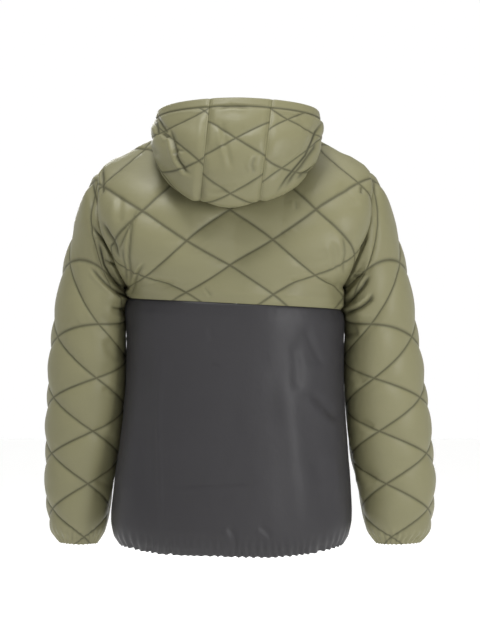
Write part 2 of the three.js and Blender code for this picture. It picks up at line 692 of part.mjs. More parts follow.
// Every column of the hood runs through its points at the levels, with rows evenly spaced along it.
function hoodColumn(column, side) {
  const points = range(hoodLevels.length).map((level) => hoodPoint(level, column, side));
  const last = points.length - 1;
  const axes = ["x", "y", "z"].map((axis) => points.map((point) => point[axis]));
  const at = (place) => new THREE.Vector3(...axes.map((values) => along(values, place)));
  const steps = 140;
  const samples = range(steps + 1).map((k) => at((last * k) / steps));
  const lengths = [0];
  samples.slice(1).forEach((point, k) => lengths.push(lengths[k] + point.distanceTo(samples[k])));
  return range(hoodRows + 1).map((j) => {
    const wanted = (lengths.at(-1) * j) / hoodRows;
    const k = clamp(lengths.findIndex((length) => length >= wanted - 1e-9), 1, steps);
    return at((last * (k - (lengths[k] - wanted) / (lengths[k] - lengths[k - 1]))) / steps);
  });
}

// The hood's wall at the neck seam points nearly the same way as the yoke's wall there, a little higher.
function neckSeamDirection(point, column) {
  const turn = hoodTurn(0, column);
  const corner = (at) => {
    const p = neckPoint(at <= 90 ? at : 180 - at, at <= 90);
    return topDirection(p, at === 90 ? neckColumns : 0);
  };
  const low = Math.min(Math.floor(turn / neck.turnStep + 1e-9), 5) * neck.turnStep;
  const direction = mixPoint(corner(low), corner(low + neck.turnStep), (turn - low) / neck.turnStep);
  direction.x *= Math.sign(point.x) || 1;
  direction.z += 0.25;
  return direction.normalize();
}

function hoodSpots() {
  const lastColumn = hoodCentreColumns + hoodSide.columns;
  const numbers = range(2 * lastColumn + 1).map((k) => k - lastColumn);
  const columns = numbers.map((c) => hoodColumn(Math.abs(c), c < 0 ? -1 : 1));
  const at = (j, i) => columns[clamp(i, 0, numbers.length - 1)][clamp(j, 0, hoodRows)];
  return range(hoodRows + 1).map((j) =>
    numbers.map((column, i) => {
      const across = at(j, i + 1).clone().sub(at(j, i - 1));
      const up = at(j + 1, i).clone().sub(at(j - 1, i));
      const normal = across.cross(up).normalize().negate();
      const inner = at(j, i).clone();
      if (j === 0) inner.z += 2.5 * seamGap;
      return { inner, normal: j === 0 ? neckSeamDirection(inner, Math.abs(column)) : normal, column };
    }),
  );
}

function makeHoodPanel(fromColumn, toColumn) {
  const rows = insetSeams(
    hoodSpots().map((row) => row.filter(({ column }) => column >= fromColumn && column <= toColumn)),
    { last: false },
  );
  const loftAt = (spot, j, i) => {
    if (j === 0 || j >= rows.length - 2 || i === 0 || i === rows[j].length - 1) return 0;
    const crest = smooth((j - 5) / 4);
    const front = smooth((spot.inner.y + 60) / 60);
    return puff(spot.column, rows.length - 1 - hoodCrossing - j) * crest * lerp(0.15, 0.85, front);
  };
  return closedWall(thicken(rows, loftAt));
}

// The zip

// The front edge from the hem to the hood's top: for each row of the plain inside, its first point and
// the point of the next column, without the rows that lie on a seam twice.
function frontEdge(side) {
  const panel = side > 0 ? frontLeft : frontRight;
  const hood = hoodSpots().map((row) => (side < 0 ? row : row.toReversed()));
  const rows = [lowerPanelRows(panel), yokePanelRows(panel), hood].flatMap(insideRows);
  const edges = rows.map((row) => {
    const first = row[0];
    return { first, second: row.find((spot) => Math.abs(spot.column - first.column) === 1) };
  });
  return edges.filter(({ first }, k) => {
    const clear = k === 0 || first.inner.distanceTo(edges[k - 1].first.inner) > 2;
    return clear && first.inner.z > box.toZ;
  });
}

// The inside of the cloth at a distance x from the middle, and the direction out of it.
function edgeSpot({ first, second }, x) {
  const share = (x - Math.abs(first.inner.x)) / (Math.abs(second.inner.x) - Math.abs(first.inner.x));
  const normal = first.normal.clone().setX(0).normalize();
  return { inner: mixPoint(first.inner, second.inner, share), normal };
}

// A strip on the inside of the front, between two depths measured outwards from the cloth's inside.
function zipStrip(edges, acrossX, from, to) {
  const rows = edges.map((edge) =>
    acrossX.map((x) => {
      const { inner, normal } = edgeSpot(edge, Math.abs(x));
      if (acrossX[0] < 0) inner.x = x;
      return {
        inner: inner.clone().addScaledVector(normal, from),
        outer: inner.clone().addScaledVector(normal, to),
        height: 0,
      };
    }),
  );
  return closedWall(rows);
}

function makeTape(side) {
  const { tapeIn, tapeOut, tapeThick, tapeClear } = zip;
  return zipStrip(frontEdge(side), [tapeIn, tapeOut], -tapeClear - tapeThick, -tapeClear);
}

function makeChain() {
  const topZ = slider.topZ - slider.tall - seamGap;
  const edges = frontEdge(1);
  const above = edges.findIndex(({ first }) => first.inner.z > topZ);
  const blend = (a, b, t) => ({ inner: mixPoint(a.inner, b.inner, t), normal: a.normal });
  const [low, high] = [edges[above - 1], edges[above]];
  const share = (topZ - low.first.inner.z) / (high.first.inner.z - low.first.inner.z);
  const last = { first: blend(low.first, high.first, share), second: blend(low.second, high.second, share) };
  const { chainHalf, tapeThick, tapeClear, chainOut } = zip;
  const behind = -tapeClear - tapeThick - 0.4;
  return zipStrip([...edges.slice(0, above), last], [-chainHalf, chainHalf], behind, chainOut);
}

// A frame on the middle of the front at height z: x across to the right, y out of the cloth, z up the zip.
function zipFrame(z) {
  const edges = frontEdge(1).map((edge) => edgeSpot(edge, (zip.tapeIn + slider.half) / 2).inner);
  const at = Math.max(1, edges.findIndex((point) => point.z >= z));
  const origin = mixPoint(edges[at - 1], edges[at], (z - edges[at - 1].z) / (edges[at].z - edges[at - 1].z));
  const up = edges[at].clone().sub(edges[at - 1]).setX(0).normalize();
  const across = new THREE.Vector3(-1, 0, 0);
  return new THREE.Matrix4().makeBasis(across, up.clone().cross(across), up).setPosition(origin.setX(0));
}

// A flat outline given as corner points, made into a body of the given length.
function extrude(corners, length, holes = []) {
  const shape = new THREE.Shape(corners.map(([x, y]) => new THREE.Vector2(x, y)));
  shape.holes = holes;
  return new THREE.ExtrudeGeometry(shape, { depth: length, bevelEnabled: false, curveSegments: 12 });
}

const manifold = await Module();
manifold.setup();

function solidOf(geometry) {
  const bare = new THREE.BufferGeometry().setAttribute("position", geometry.getAttribute("position"));
  const merged = mergeVertices(bare, 1e-4);
  const triVerts = new Uint32Array(merged.index.array);
  const vertProperties = merged.getAttribute("position").array;
  return new manifold.Manifold(new manifold.Mesh({ numProp: 3, vertProperties, triVerts }));
}

function joined(first, second) {
  const { vertProperties, triVerts } = solidOf(first).add(solidOf(second)).getMesh();
  const made = new THREE.BufferGeometry();
  made.setAttribute("position", new THREE.Float32BufferAttribute(vertProperties, 3));
  made.setIndex([...triVerts]);
  made.computeVertexNormals();
  return made;
}

const sliderFrame = () => zipFrame(slider.topZ - slider.tall / 2);

// The slider's two plates and the web between the tapes, and the crown that holds the pull
function makeSlider() {
  const { half, webHalf, plate, tall, crownWide } = slider;
  const behind = -zip.tapeClear - zip.tapeThick - slider.clear;
  const ahead = -zip.tapeClear + slider.clear;
  const right = [
    [half, behind - plate],
    [half, behind],
    [webHalf, behind],
    [webHalf, ahead],
    [half, ahead],
    [half, ahead + plate],
  ];
  const left = right.map(([x, y]) => [-x, y]).toReversed();
  const body = extrude([...right, ...left], tall).translate(0, 0, -tall / 2);
  const radius = hinge.hole + hinge.rim;
  const foot = ahead + plate - 0.4;
  const arch = range(13).map((k) => {
    const a = (Math.PI * k) / 12;
    return [hinge.out + radius * Math.sin(a), hinge.up + radius * Math.cos(a)];
  });
  const hole = new THREE.Path().absarc(hinge.out, hinge.up, hinge.hole, 0, 2 * Math.PI);
  const corners = [[foot, hinge.up + radius], ...arch, [foot, hinge.up - radius]];
  const crown = extrude(corners.toReversed(), crownWide, [hole]);
  // The outline is drawn out of and up the zip, so its thickness is turned to lie across.
  const turned = new THREE.Matrix4().makeBasis(
    new THREE.Vector3(0, 1, 0),
    new THREE.Vector3(0, 0, 1),
    new THREE.Vector3(1, 0, 0),
  );
  crown.applyMatrix4(turned).translate(-crownWide / 2, 0, 0);
  return joined(body, crown).applyMatrix4(sliderFrame());
}

const hingePoint = new THREE.Vector3(0, hinge.out, hinge.up).applyMatrix4(sliderFrame());

// The pull hangs straight down from its bar in the crown.
function makePull() {
  const { half, long, thick, bar, windowHalf, window } = pull;
  const top = bar / 2;
  const outline = [
    [-half + 1, top],
    [-half, top - 1],
    [-half, top - long + 2],
    [-half + 2, top - long],
    [half - 2, top - long],
    [half, top - long + 2],
    [half, top - 1],
    [half - 1, top],
  ];
  const hole = new THREE.Path();
  hole.setFromPoints([
    new THREE.Vector2(-windowHalf, top - bar),
    new THREE.Vector2(windowHalf, top - bar),
    new THREE.Vector2(windowHalf, top - bar - window),
    new THREE.Vector2(-windowHalf, top - bar - window),
  ]);
  const made = extrude(outline, thick, [hole]).translate(0, 0, -thick / 2).rotateX(Math.PI / 2);
  return made.translate(0, hingePoint.y, hingePoint.z);
}

// The box that the two sides of the zip start from, at the hem
function makeBox() {
  const middle = (box.fromZ + box.toZ) / 2;
  const point = (z) => trunkPoint(0, z, false, 1);
  const up = point(box.toZ).sub(point(box.fromZ)).setX(0).normalize();
  const across = new THREE.Vector3(-1, 0, 0);
  const frame = new THREE.Matrix4().makeBasis(across, up.clone().cross(across), up);
  frame.setPosition(point(middle).setX(0));
  const made = new THREE.BoxGeometry(2 * box.half, box.ahead + box.behind, box.toZ - box.fromZ);
  return made.translate(0, (box.ahead - box.behind) / 2, 0).applyMatrix4(frame);
}

// Assembly

const jacket = new THREE.Group();
jacket.name = "quilted_jacket";

function add(name, geometry, material) {
  const mesh = new THREE.Mesh(geometry, material);
  mesh.name = name;
  jacket.add(mesh);
}

const hoodEnd = hoodCentreColumns + hoodSide.columns;

add("back_yoke", makeYoke(back), quilted);
add("front_yoke_left", makeYoke(frontLeft), quilted);
add("front_yoke_right", makeYoke(frontRight), quilted);
add("back_lower", makeLower(back), plain);
add("front_lower_left", makeLower(frontLeft), plain);
add("front_lower_right", makeLower(frontRight), plain);
add("sleeve_left", makeSleeve(1), quilted);
add("sleeve_right", makeSleeve(-1), quilted);
add("hood_center", makeHoodPanel(-hoodCentreColumns, hoodCentreColumns), quilted);
add("hood_side_left", makeHoodPanel(hoodCentreColumns, hoodEnd), quilted);
add("hood_side_right", makeHoodPanel(-hoodEnd, -hoodCentreColumns), quilted);
add("hem_binding", makeHemBinding(), binding);
add("cuff_binding_left", makeCuffBinding(1), binding);
add("cuff_binding_right", makeCuffBinding(-1), binding);
add("zip_tape_left", makeTape(1), binding);
add("zip_tape_right", makeTape(-1), binding);
add("zip_chain", makeChain(), metal);
add("zip_box", makeBox(), metal);
add("zip_slider", makeSlider(), metal);
add("zip_pull", makePull(), metal);

export default jacket;
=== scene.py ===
# %% [markdown]
# A hooded, diamond-quilted jacket, filled out as on a wearer and seen from behind.
# The frame from the CAD step holds each panel as one solid wall. The cloth is made again here on the
# same surfaces with a fine mesh, because quilting, puckers and creases need many more points than a
# solid should have. Sizes are in millimetres until a mesh is made.

# %% The frame
import math

import bpy
import numpy as np
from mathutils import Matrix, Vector


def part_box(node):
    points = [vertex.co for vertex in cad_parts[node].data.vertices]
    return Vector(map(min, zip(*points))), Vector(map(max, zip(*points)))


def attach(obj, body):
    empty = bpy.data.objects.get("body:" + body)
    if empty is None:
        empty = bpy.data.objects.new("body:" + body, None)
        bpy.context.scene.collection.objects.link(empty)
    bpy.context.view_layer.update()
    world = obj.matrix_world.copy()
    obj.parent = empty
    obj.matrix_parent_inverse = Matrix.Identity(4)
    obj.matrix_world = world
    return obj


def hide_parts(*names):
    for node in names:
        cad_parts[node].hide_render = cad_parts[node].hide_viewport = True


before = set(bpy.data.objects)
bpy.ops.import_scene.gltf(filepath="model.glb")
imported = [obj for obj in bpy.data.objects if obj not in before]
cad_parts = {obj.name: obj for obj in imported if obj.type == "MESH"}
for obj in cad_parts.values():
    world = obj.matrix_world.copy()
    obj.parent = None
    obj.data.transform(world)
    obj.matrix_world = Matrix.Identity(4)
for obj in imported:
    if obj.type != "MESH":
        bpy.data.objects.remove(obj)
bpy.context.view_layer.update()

# %% [markdown]
# Small sums that every later cell uses. Numpy works them out for a whole grid of points at once. A
# curve through the rows of a table is a Catmull-Rom curve, the same as in the CAD source, so that the
# cloth follows the solids.

# %% Small sums
MM = 0.001


def smooth(t):
    t = np.clip(t, 0, 1)
    return t * t * (3 - 2 * t)


def lerp(a, b, t):
    return a + (b - a) * t


def bell(t):
    return np.exp(-t * t)


def vector(x, y, z):
    return np.stack(np.broadcast_arrays(x, y, z), axis=-1).astype(float)


def unit(v):
    return v / np.maximum(np.linalg.norm(v, axis=-1, keepdims=True), 1e-9)


def lengths_along(points, axis=0):
    """How far each point lies along a path, or along its column (axis 0) or row (axis 1) of a grid."""
    steps = np.linalg.norm(np.diff(points, axis=axis), axis=-1)
    pad = [(0, 0)] * steps.ndim
    pad[axis] = (1, 0)
    return np.pad(np.cumsum(steps, axis=axis), pad)


def at_run(run, runs, values):
    """A path's rows of values at distances along it. runs holds the distance of each row."""
    return np.stack([np.interp(run, runs, values[:, axis]) for axis in range(3)], axis=-1)


def along(values, places):
    """The value of a list at places between its items, on a curve through them."""
    values = np.asarray(values, float)
    places = np.clip(places, 0, len(values) - 1)
    first = np.minimum(places.astype(int), len(values) - 2)
    t = (places - first).reshape(places.shape + (1,) * (values.ndim - 1))
    ends = 2 * values[:1] - values[1:2], 2 * values[-1:] - values[-2:-1]
    padded = np.concatenate([ends[0], values, ends[1]])
    a, b, c, d = (padded[first + k] for k in range(4))
    return b + 0.5 * t * (c - a + t * (2 * a - 5 * b + 4 * c - d + t * (3 * (b - c) + d - a)))


class Table:
    """Rows of sizes with named columns, read at any place between the rows."""

    def __init__(self, names, *rows):
        self.names = names.split()
        self.rows = np.array(rows, float)

    def column(self, name):
        return self.rows[:, self.names.index(name)]

    def at(self, name, place):
        return along(self.column(name), place)

    def place(self, z):
        heights = self.column("z")
        way = np.sign(heights[-1] - heights[0])
        return np.interp(way * z, way * heights, np.arange(len(heights)))


print("a curve halfway through 0, 1, 4, 9:", along([0, 1, 4, 9], np.array([1.5])))

# %% [markdown]
# The sizes of the garment, repeated from the CAD source. Quilting is counted in columns and rows: three
# of each make half a diamond. Each one is cut into ten here, so that every stitched line runs exactly
# through mesh points and along mesh diagonals, and stays sharp.

# %% Sizes of the garment
WALL = 3
THINNEST = 1.1
LOFT = 5.2
CELLS = 3
FINE = 10
FINE_INSIDE = 2
HALF_WIDE = 74
HALF_TALL = 47
PITCH = HALF_WIDE / CELLS
ROW_PITCH = HALF_TALL / CELLS
DIAMOND_SIDE = math.hypot(HALF_WIDE, HALF_TALL)
LINE_SPACING = 2 * HALF_WIDE * HALF_TALL / DIAMOND_SIDE

ARMPIT_Z = -280
SEAM_Z = -314
SEAM_RISE = 12
HEM_Z = -741
TIP = {"x": 238, "z": -80}
ARMHOLE_X = 188
NECK = {"half_wide": 88, "back_y": 62, "back_z": -20, "front_y": -88, "front_z": -78}
FRONT_GAP = 6.5
SQUARENESS = 2.35

TRUNK = Table(
    "z half_wide back front lean",
    (-280, 188, 145, 130, 0),
    (-340, 187, 143, 130, 0),
    (-420, 187, 140, 128, 0),
    (-500, 191, 141, 128, 1),
    (-580, 199, 145, 130, 3),
    (-650, 206, 149, 132, 5),
    (-700, 208, 150, 133, 6),
    (-725, 204, 146, 129, 6),
    (-741, 194, 136, 120, 6),
)
BACK_MIDDLE = Table(
    "z y", (-280, 145), (-230, 144), (-180, 138), (-130, 126), (-80, 104), (-45, 82), (-20, 62)
)
FRONT_MIDDLE = Table(
    "z y", (-280, -130), (-230, -131), (-180, -127), (-130, -116), (-100, -102), (-78, -88)
)
SLEEVE = Table(
    "out_x out_z in_x in_z mid_y half_deep",
    (238, -80, 188, -280, 0, 78),
    (257, -110, 200, -291, -1, 78),
    (272, -148, 203, -303, -2, 77),
    (285, -190, 202, -320, -3, 75),
    (298, -238, 201, -342, -5, 73),
    (312, -305, 200, -376, -8, 70),
    (323, -390, 199, -426, -13, 67),
    (331, -480, 203, -500, -20, 63),
    (335, -570, 212, -580, -30, 59),
    (335, -650, 226, -655, -40, 54),
    (329, -703, 235, -706, -46, 47),
    (322, -724, 243, -726, -48, 41),
    (315, -735, 250, -737, -48, 35),
)
HOOD = Table(
    "half_wide mid_y front_y back_y back_z side_z over_z cheek_z front_z",
    (88, 0, -88, 62, -20, 0, 0, 0, -78),
    (95, 7, -91, 80, 8, 14, 10, -48, -68),
    (107, 32, -93, 114, -40, 4, 16, -40, -58),
    (123, 66, -95, 148, -106, -24, 12, -34, -48),
    (134, 93, -97, 180, -146, -40, 8, -28, -38),
    (138, 97, -99, 210, -106, -36, 12, -20, -28),
    (138, 90, -101, 216, -46, -12, 20, -8, -18),
    (130, 72, -103, 184, 30, 20, 32, 6, -6),
)
print("mm along a diamond's side:", round(DIAMOND_SIDE, 1), "and between lines:", round(LINE_SPACING, 1))

# %% [markdown]
# The trunk is a stack of rounded rings. A half row runs from the middle (share 0) to the side seam
# (share 1), and its columns keep the quilting's pitch near the middle and share what is left.

# %% The trunk's surface
HALF_COLUMNS = 10
EVEN_COLUMNS = 6
SAMPLES = np.sin(np.pi / 2 * np.arange(81) / 80)
HEM_HANG = {"from_z": -600, "over": 140, "side_lift": 6, "back_drop": 4}


def trunk_point(q, z, side, back):
    place = TRUNK.place(z)
    turn = np.pi / 2 * (1 - q)
    wide = np.abs(np.cos(turn)) / TRUNK.at("half_wide", place)
    deep = np.abs(np.sin(turn)) / TRUNK.at("back" if back else "front", place)
    reach = (wide**SQUARENESS + deep**SQUARENESS) ** (-1 / SQUARENESS)
    lean = TRUNK.at("lean", place) * (1 if back else smooth(q / 0.4))
    return vector(side * reach * np.cos(turn) + lean, (1 if back else -1) * reach * np.sin(turn), z)


def seam_z(q, side):
    return SEAM_Z + SEAM_RISE * q * side


def column_shares(curves, columns, start):
    """For each sampled row, the share at which each column lies."""
    even = np.where(columns < 1, lerp(start, PITCH, columns), columns * PITCH)
    rest = (columns - EVEN_COLUMNS) / (HALF_COLUMNS - EVEN_COLUMNS)
    rows = []
    for length in lengths_along(curves, 1):
        spread = lerp(EVEN_COLUMNS * PITCH, length[-1], rest)
        rows.append(np.interp(np.where(columns <= EVEN_COLUMNS, even, spread), length, SAMPLES))
    return np.array(rows)


def trunk_rows(z_of, rows, columns, side, back, start):
    """Points of rows of the trunk. z_of gives a row's height at a share."""
    rows = rows[:, None]
    curves = trunk_point(SAMPLES[None], z_of(SAMPLES[None], rows), side, back)
    q = column_shares(curves, columns, start)
    return trunk_point(q, z_of(q, rows), side, back)


def hang_hem(points):
    """The hem as it hangs: lifted at the sides and lowest behind, a little right of the middle."""
    x, y, z = points[..., 0], points[..., 1], points[..., 2]
    low = smooth((HEM_HANG["from_z"] - z) / HEM_HANG["over"])
    lift = HEM_HANG["side_lift"] * smooth((np.abs(x) - 110) / 90)
    drop = HEM_HANG["back_drop"] * smooth((y - 20) / 60) * bell((x + 50) / 70)
    points[..., 2] += low * (lift - drop)
    return points


# %% [markdown]
# Above the armpits each front and back is a sheet stretched between four edges: the trunk's ring, the
# neck and shoulder, the middle line and the armhole. Blending opposite edges in this way is called a
# Coons patch, and it needs no hand-placed points.

# %% The upper back and fronts
SLEEVE_COLUMNS = 15
UPPER_ROWS = 15
EVEN_ROWS = 12
SEAM_ROWS = 2
NECK_COLUMNS = 3
NECK_SHARE = NECK["half_wide"] / TIP["x"]
NECK_SPREAD = 16


def sleeve_point(place, turn):
    """A point of the left sleeve: 0 degrees is its outer side, 90 behind and 180 under the arm."""
    turn = np.radians(turn)
    low = (1 - np.cos(turn)) / 2
    x = lerp(SLEEVE.at("out_x", place), SLEEVE.at("in_x", place), low)
    z = lerp(SLEEVE.at("out_z", place), SLEEVE.at("in_z", place), low)
    y = SLEEVE.at("mid_y", place) + SLEEVE.at("half_deep", place) * np.sin(turn)
    bulge = (TIP["x"] - ARMHOLE_X) * low * (1 - low) * (1 - smooth(place / 3))
    return vector(x + bulge, y, z)


def neck_point(turn, back):
    cos = np.maximum(np.cos(np.radians(turn)), 0)
    y = (NECK["back_y"] if back else NECK["front_y"]) * cos
    z = (NECK["back_z"] if back else NECK["front_z"]) * cos**1.5
    return vector(NECK["half_wide"] * np.sin(np.radians(turn)), y, z)


def top_edge(q, back):
    share = (q - NECK_SHARE) / (1 - NECK_SHARE)
    shoulder_z = TIP["z"] * share + 9 * np.sin(np.pi * share)
    shoulder = vector(lerp(NECK["half_wide"], TIP["x"], share), 0, shoulder_z)
    return np.where((q <= NECK_SHARE)[..., None], neck_point(90 * q / NECK_SHARE, back), shoulder)


def upper_turn(row, back):
    return 180 + (-1 if back else 1) * row * 180 / UPPER_ROWS


def upper_point(q, row, back, side):
    middle = BACK_MIDDLE if back else FRONT_MIDDLE
    top_z = middle.column("z")[-1]
    even_top = ARMPIT_Z + EVEN_ROWS * ROW_PITCH
    rest = (row - EVEN_ROWS) / (UPPER_ROWS - EVEN_ROWS)
    z = np.where(row <= EVEN_ROWS, ARMPIT_Z + row * ROW_PITCH, lerp(even_top, top_z, rest))
    up = (row / UPPER_ROWS)[..., None] ** 2.2

    def level(share):
        y = middle.column("y")[0] * (1 - np.clip(share, 0, 1) ** SQUARENESS) ** (1 / SQUARENESS)
        return lerp(vector(share * ARMHOLE_X, y, ARMPIT_Z), top_edge(share, back), up)

    start = vector(0, middle.at("y", middle.place(z)), z)
    across = (1.1 * q * q / (q + 0.1))[..., None]
    sides = lerp(start, sleeve_point(0 * row, upper_turn(row, back)), across)
    point = level(q) + sides - lerp(level(0 * q), level(0 * q + 1), across)
    beside = 0 if back else NECK_SPREAD * bell((q - NECK_SHARE) / 0.17) * bell((row - 13) / 2.5)
    point[..., 0] += beside * (1 - (row / UPPER_ROWS) ** 16)
    return point * [side, 1, 1]


def upper_rows(rows, columns, side, back, start):
    rows = rows[:, None]
    curves = upper_point(np.broadcast_to(SAMPLES, (len(rows), len(SAMPLES))), rows + 0 * SAMPLES, back, 1)
    even = column_shares(curves, columns, start)
    first_corner = neck_point(np.array(30.0), back)[0]
    neck_start = start / first_corner * NECK_SHARE / NECK_COLUMNS
    top = np.interp(columns, [0, 1, 3, 10], [neck_start, NECK_SHARE / 3, NECK_SHARE, 1])
    q = lerp(even, top, smooth((rows / UPPER_ROWS - 0.5) / 0.5))
    return upper_point(q, rows + 0 * q, back, side)


print("the neck's edge behind:", neck_point(np.array([0.0, 45.0, 90.0]), True).round())

# %% [markdown]
# A cloth panel is kept as a grid: the points of its plain inside, the direction out of them, and the
# column and row of each, which place the quilting. Half rows of the back are joined at the middle.

# %% Grids of cloth
class Cloth:
    """A panel's grid of inside points with its columns and rows."""

    def __init__(self, points, columns, rows, closed=False):
        self.inside = points
        self.columns = columns
        self.rows = rows
        self.closed = closed
        self.normals = self.directions()
        self.height = np.zeros(points.shape[:2])
        self.shaded_valley = np.zeros(points.shape[:2])

    def directions(self):
        points = self.inside
        if self.closed:
            points = np.concatenate([points[:, -2:-1], points, points[:, 1:2]], axis=1)
        across = np.gradient(points, axis=1)
        up = np.gradient(points, axis=0)
        normals = unit(np.cross(across, up))
        return normals[:, 1:-1] if self.closed else normals

    def flip(self):
        self.normals = -self.normals
        return self

    @property
    def outside(self):
        """The outer face, at least a pressed layer's thickness out from the inner one."""
        over = WALL + self.height - THINNEST
        thick = THINNEST + np.log1p(np.exp(np.clip(3 * over, -50, 50))) / 3
        return self.inside + self.normals * thick[..., None]

    def lengths(self, axis):
        return lengths_along(self.inside, axis)

    def from_edges(self, left=True, right=True, bottom=True, top=True):
        """How far each point is from the nearest of the named edges."""
        across = self.lengths(1)
        up = self.lengths(0)
        far = np.full(self.height.shape, 1e3)
        for wanted, distance in (
            (left, across),
            (right, across[:, -1:] - across),
            (bottom, up),
            (top, up[-1:] - up),
        ):
            far = np.minimum(far, distance) if wanted else far
        return far


def steps_of(first, last, fine=FINE):
    return np.arange(first * fine, last * fine + 1) / fine


def whole(half, columns, sides):
    """A front's one half, or the back's two side by side from the wearer's right to the left."""
    if len(sides) == 1:
        return half(sides[0]), sides[0] * columns
    points = np.concatenate([half(-1)[:, :0:-1], half(1)], axis=1)
    return points, np.concatenate([-columns[:0:-1], columns])


def facing_out(cloth, back, sides):
    """A panel's grid with its directions turned out of the garment."""
    outward = (-1 if back else 1) * (1 if len(sides) == 2 else sides[0])
    return cloth if outward > 0 else cloth.flip()


def level_out(points, reach=round(1.2 * FINE)):
    """Each point moved to the mean of the points above and below it."""
    padded = np.concatenate([points[:1].repeat(reach, 0), points, points[-1:].repeat(reach, 0)])
    sums = np.cumsum(np.concatenate([0 * padded[:1], padded]), axis=0)
    return (sums[2 * reach + 1 :] - sums[: -2 * reach - 1]) / (2 * reach + 1)


def yoke_grid(back, sides):
    rows = steps_of(0, SEAM_ROWS + UPPER_ROWS)
    columns = steps_of(0, HALF_COLUMNS)
    start = 0 if back else FRONT_GAP
    low = rows[rows < SEAM_ROWS]
    high = rows[rows >= SEAM_ROWS] - SEAM_ROWS

    def half(side):
        def z_of(q, row):
            return lerp(seam_z(q, side), ARMPIT_Z, row / SEAM_ROWS) + 0 * q

        below = trunk_rows(z_of, low, columns, side, back, start)
        return np.concatenate([below, upper_rows(high, columns, side, back, start)])

    points, all_columns = whole(half, columns, sides)
    off_the_edge = smooth((HALF_COLUMNS - np.abs(all_columns)) / 1.5)[:, None]
    near_armpit = bell((rows - SEAM_ROWS) / 1.2)[:, None, None] * off_the_edge
    points = lerp(points, level_out(points), near_armpit)
    return facing_out(Cloth(points, all_columns, rows), back, sides)


def lower_grid(back, sides, rows=114):
    heights = np.arange(rows + 1) / rows
    columns = steps_of(0, HALF_COLUMNS)
    start = 0 if back else FRONT_GAP

    def half(side):
        def z_of(q, share):
            return lerp(HEM_Z, seam_z(q, side), share)

        return trunk_rows(z_of, heights, columns, side, back, start)

    points, all_columns = whole(half, columns, sides)
    return facing_out(Cloth(hang_hem(points), all_columns, heights * rows), back, sides)


# %% [markdown]
# The sleeve is a tube of rings, and the hood runs level by level from the neck seam over a fold and
# round the bottom of its bag up to the rim. Rows are evenly spaced along the cloth, as it was quilted
# before it was cut.

# %% Grids of the sleeves and hood
HOOD_ROWS = 27
HOOD_CENTRE = 2
HOOD_SIDE = 10
HOOD_EVENNESS = np.array([1, 0.9, 0.5, 0.2, 0, 0, 0, 0])
RIGHT_RIM = {"drop": 3, "wider": 12}
SWING = {"right": 20, "from_z": -330, "to_z": -700, "from_x": 215, "to_x": 325}
CUFF_HANG = {"from_z": -600, "over": 130, "drop": 6}
SPINE = {"turn": 108, "samples": 240}
LEVELS = len(HOOD.rows)
LEVEL_SAMPLES = 280


def sleeve_grid(side):
    fine_places = (len(SLEEVE.rows) - 1) * (1 - np.arange(SPINE["samples"] + 1) / SPINE["samples"])
    lengths = lengths_along(sleeve_point(fine_places, SPINE["turn"]))
    count = round(lengths[-1] / ROW_PITCH)
    rows = steps_of(0, count)
    places = np.interp(rows / count * lengths[-1], lengths, fine_places)
    columns = steps_of(0, SLEEVE_COLUMNS)
    turns = 180 - columns * 360 / SLEEVE_COLUMNS
    points = sleeve_point(*np.meshgrid(places, turns, indexing="ij"))
    if side < 0:
        share = smooth((points[..., 2] - SWING["from_z"]) / (SWING["to_z"] - SWING["from_z"]))
        outwards = np.clip((points[..., 0] - SWING["from_x"]) / (SWING["to_x"] - SWING["from_x"]), 0, 1)
        points[..., 0] += SWING["right"] * share * outwards
    low = smooth((CUFF_HANG["from_z"] - points[..., 2]) / CUFF_HANG["over"])
    points[..., 2] -= CUFF_HANG["drop"] * low
    cloth = Cloth(points * [side, 1, 1], columns, rows, closed=True)
    return cloth if side < 0 else cloth.flip()


def hood_turn(level, column):
    half_wide = HOOD.column("half_wide")[level]
    middle = np.degrees(np.arcsin(np.minimum(column, HOOD_CENTRE) * PITCH / half_wide))
    share = np.clip((column - HOOD_CENTRE) / HOOD_SIDE, 0, 1) ** 1.25
    last = 180 - 30 * FRONT_GAP / (NECK["half_wide"] / 2)
    even = np.interp(column, [0, 11, 12], [0, 165, last])
    crowded = lerp(middle, 180 - np.degrees(np.arcsin(FRONT_GAP / half_wide)), share)
    return lerp(crowded, even, HOOD_EVENNESS[level])


def hood_point(level, column, side):
    size = dict(zip(HOOD.names, HOOD.rows[level]))
    turn = hood_turn(level, column)
    if level == 0:
        behind = neck_point(np.minimum(turn, 90), True)
        ahead = neck_point(180 - np.maximum(turn, 90), False)
        mirror = np.stack([side, 1 + 0 * side, 1 + 0 * side], -1)
        return np.where((turn <= 90)[:, None], behind, ahead) * mirror
    cos = np.cos(np.radians(turn))
    sin = np.sin(np.radians(turn))
    y = lerp(size["mid_y"], np.where(cos >= 0, size["back_y"], size["front_y"]), np.abs(cos))
    behind = lerp(size["side_z"], size["back_z"], np.maximum(cos, 0) ** 0.9)
    heights = [size["side_z"], size["over_z"], size["cheek_z"], size["front_z"]]
    ahead = along(heights, (turn - 90) / 30)
    upper = smooth((level - 4) / 3)
    drop = RIGHT_RIM["drop"] * upper * np.sin(np.radians(np.clip(1.2 * turn, 0, 180)))
    z = np.where(cos >= 0, behind, ahead) - np.where(side < 0, drop, 0)
    lean = lerp(-10, 10, (34 - z) / (34 + 156)) * np.maximum(cos, 0) * smooth((level - 1) / 3)
    half_wide = size["half_wide"] + np.where(side < 0, RIGHT_RIM["wider"] * upper, 0)
    return vector(side * half_wide * sin + lean, y, z)


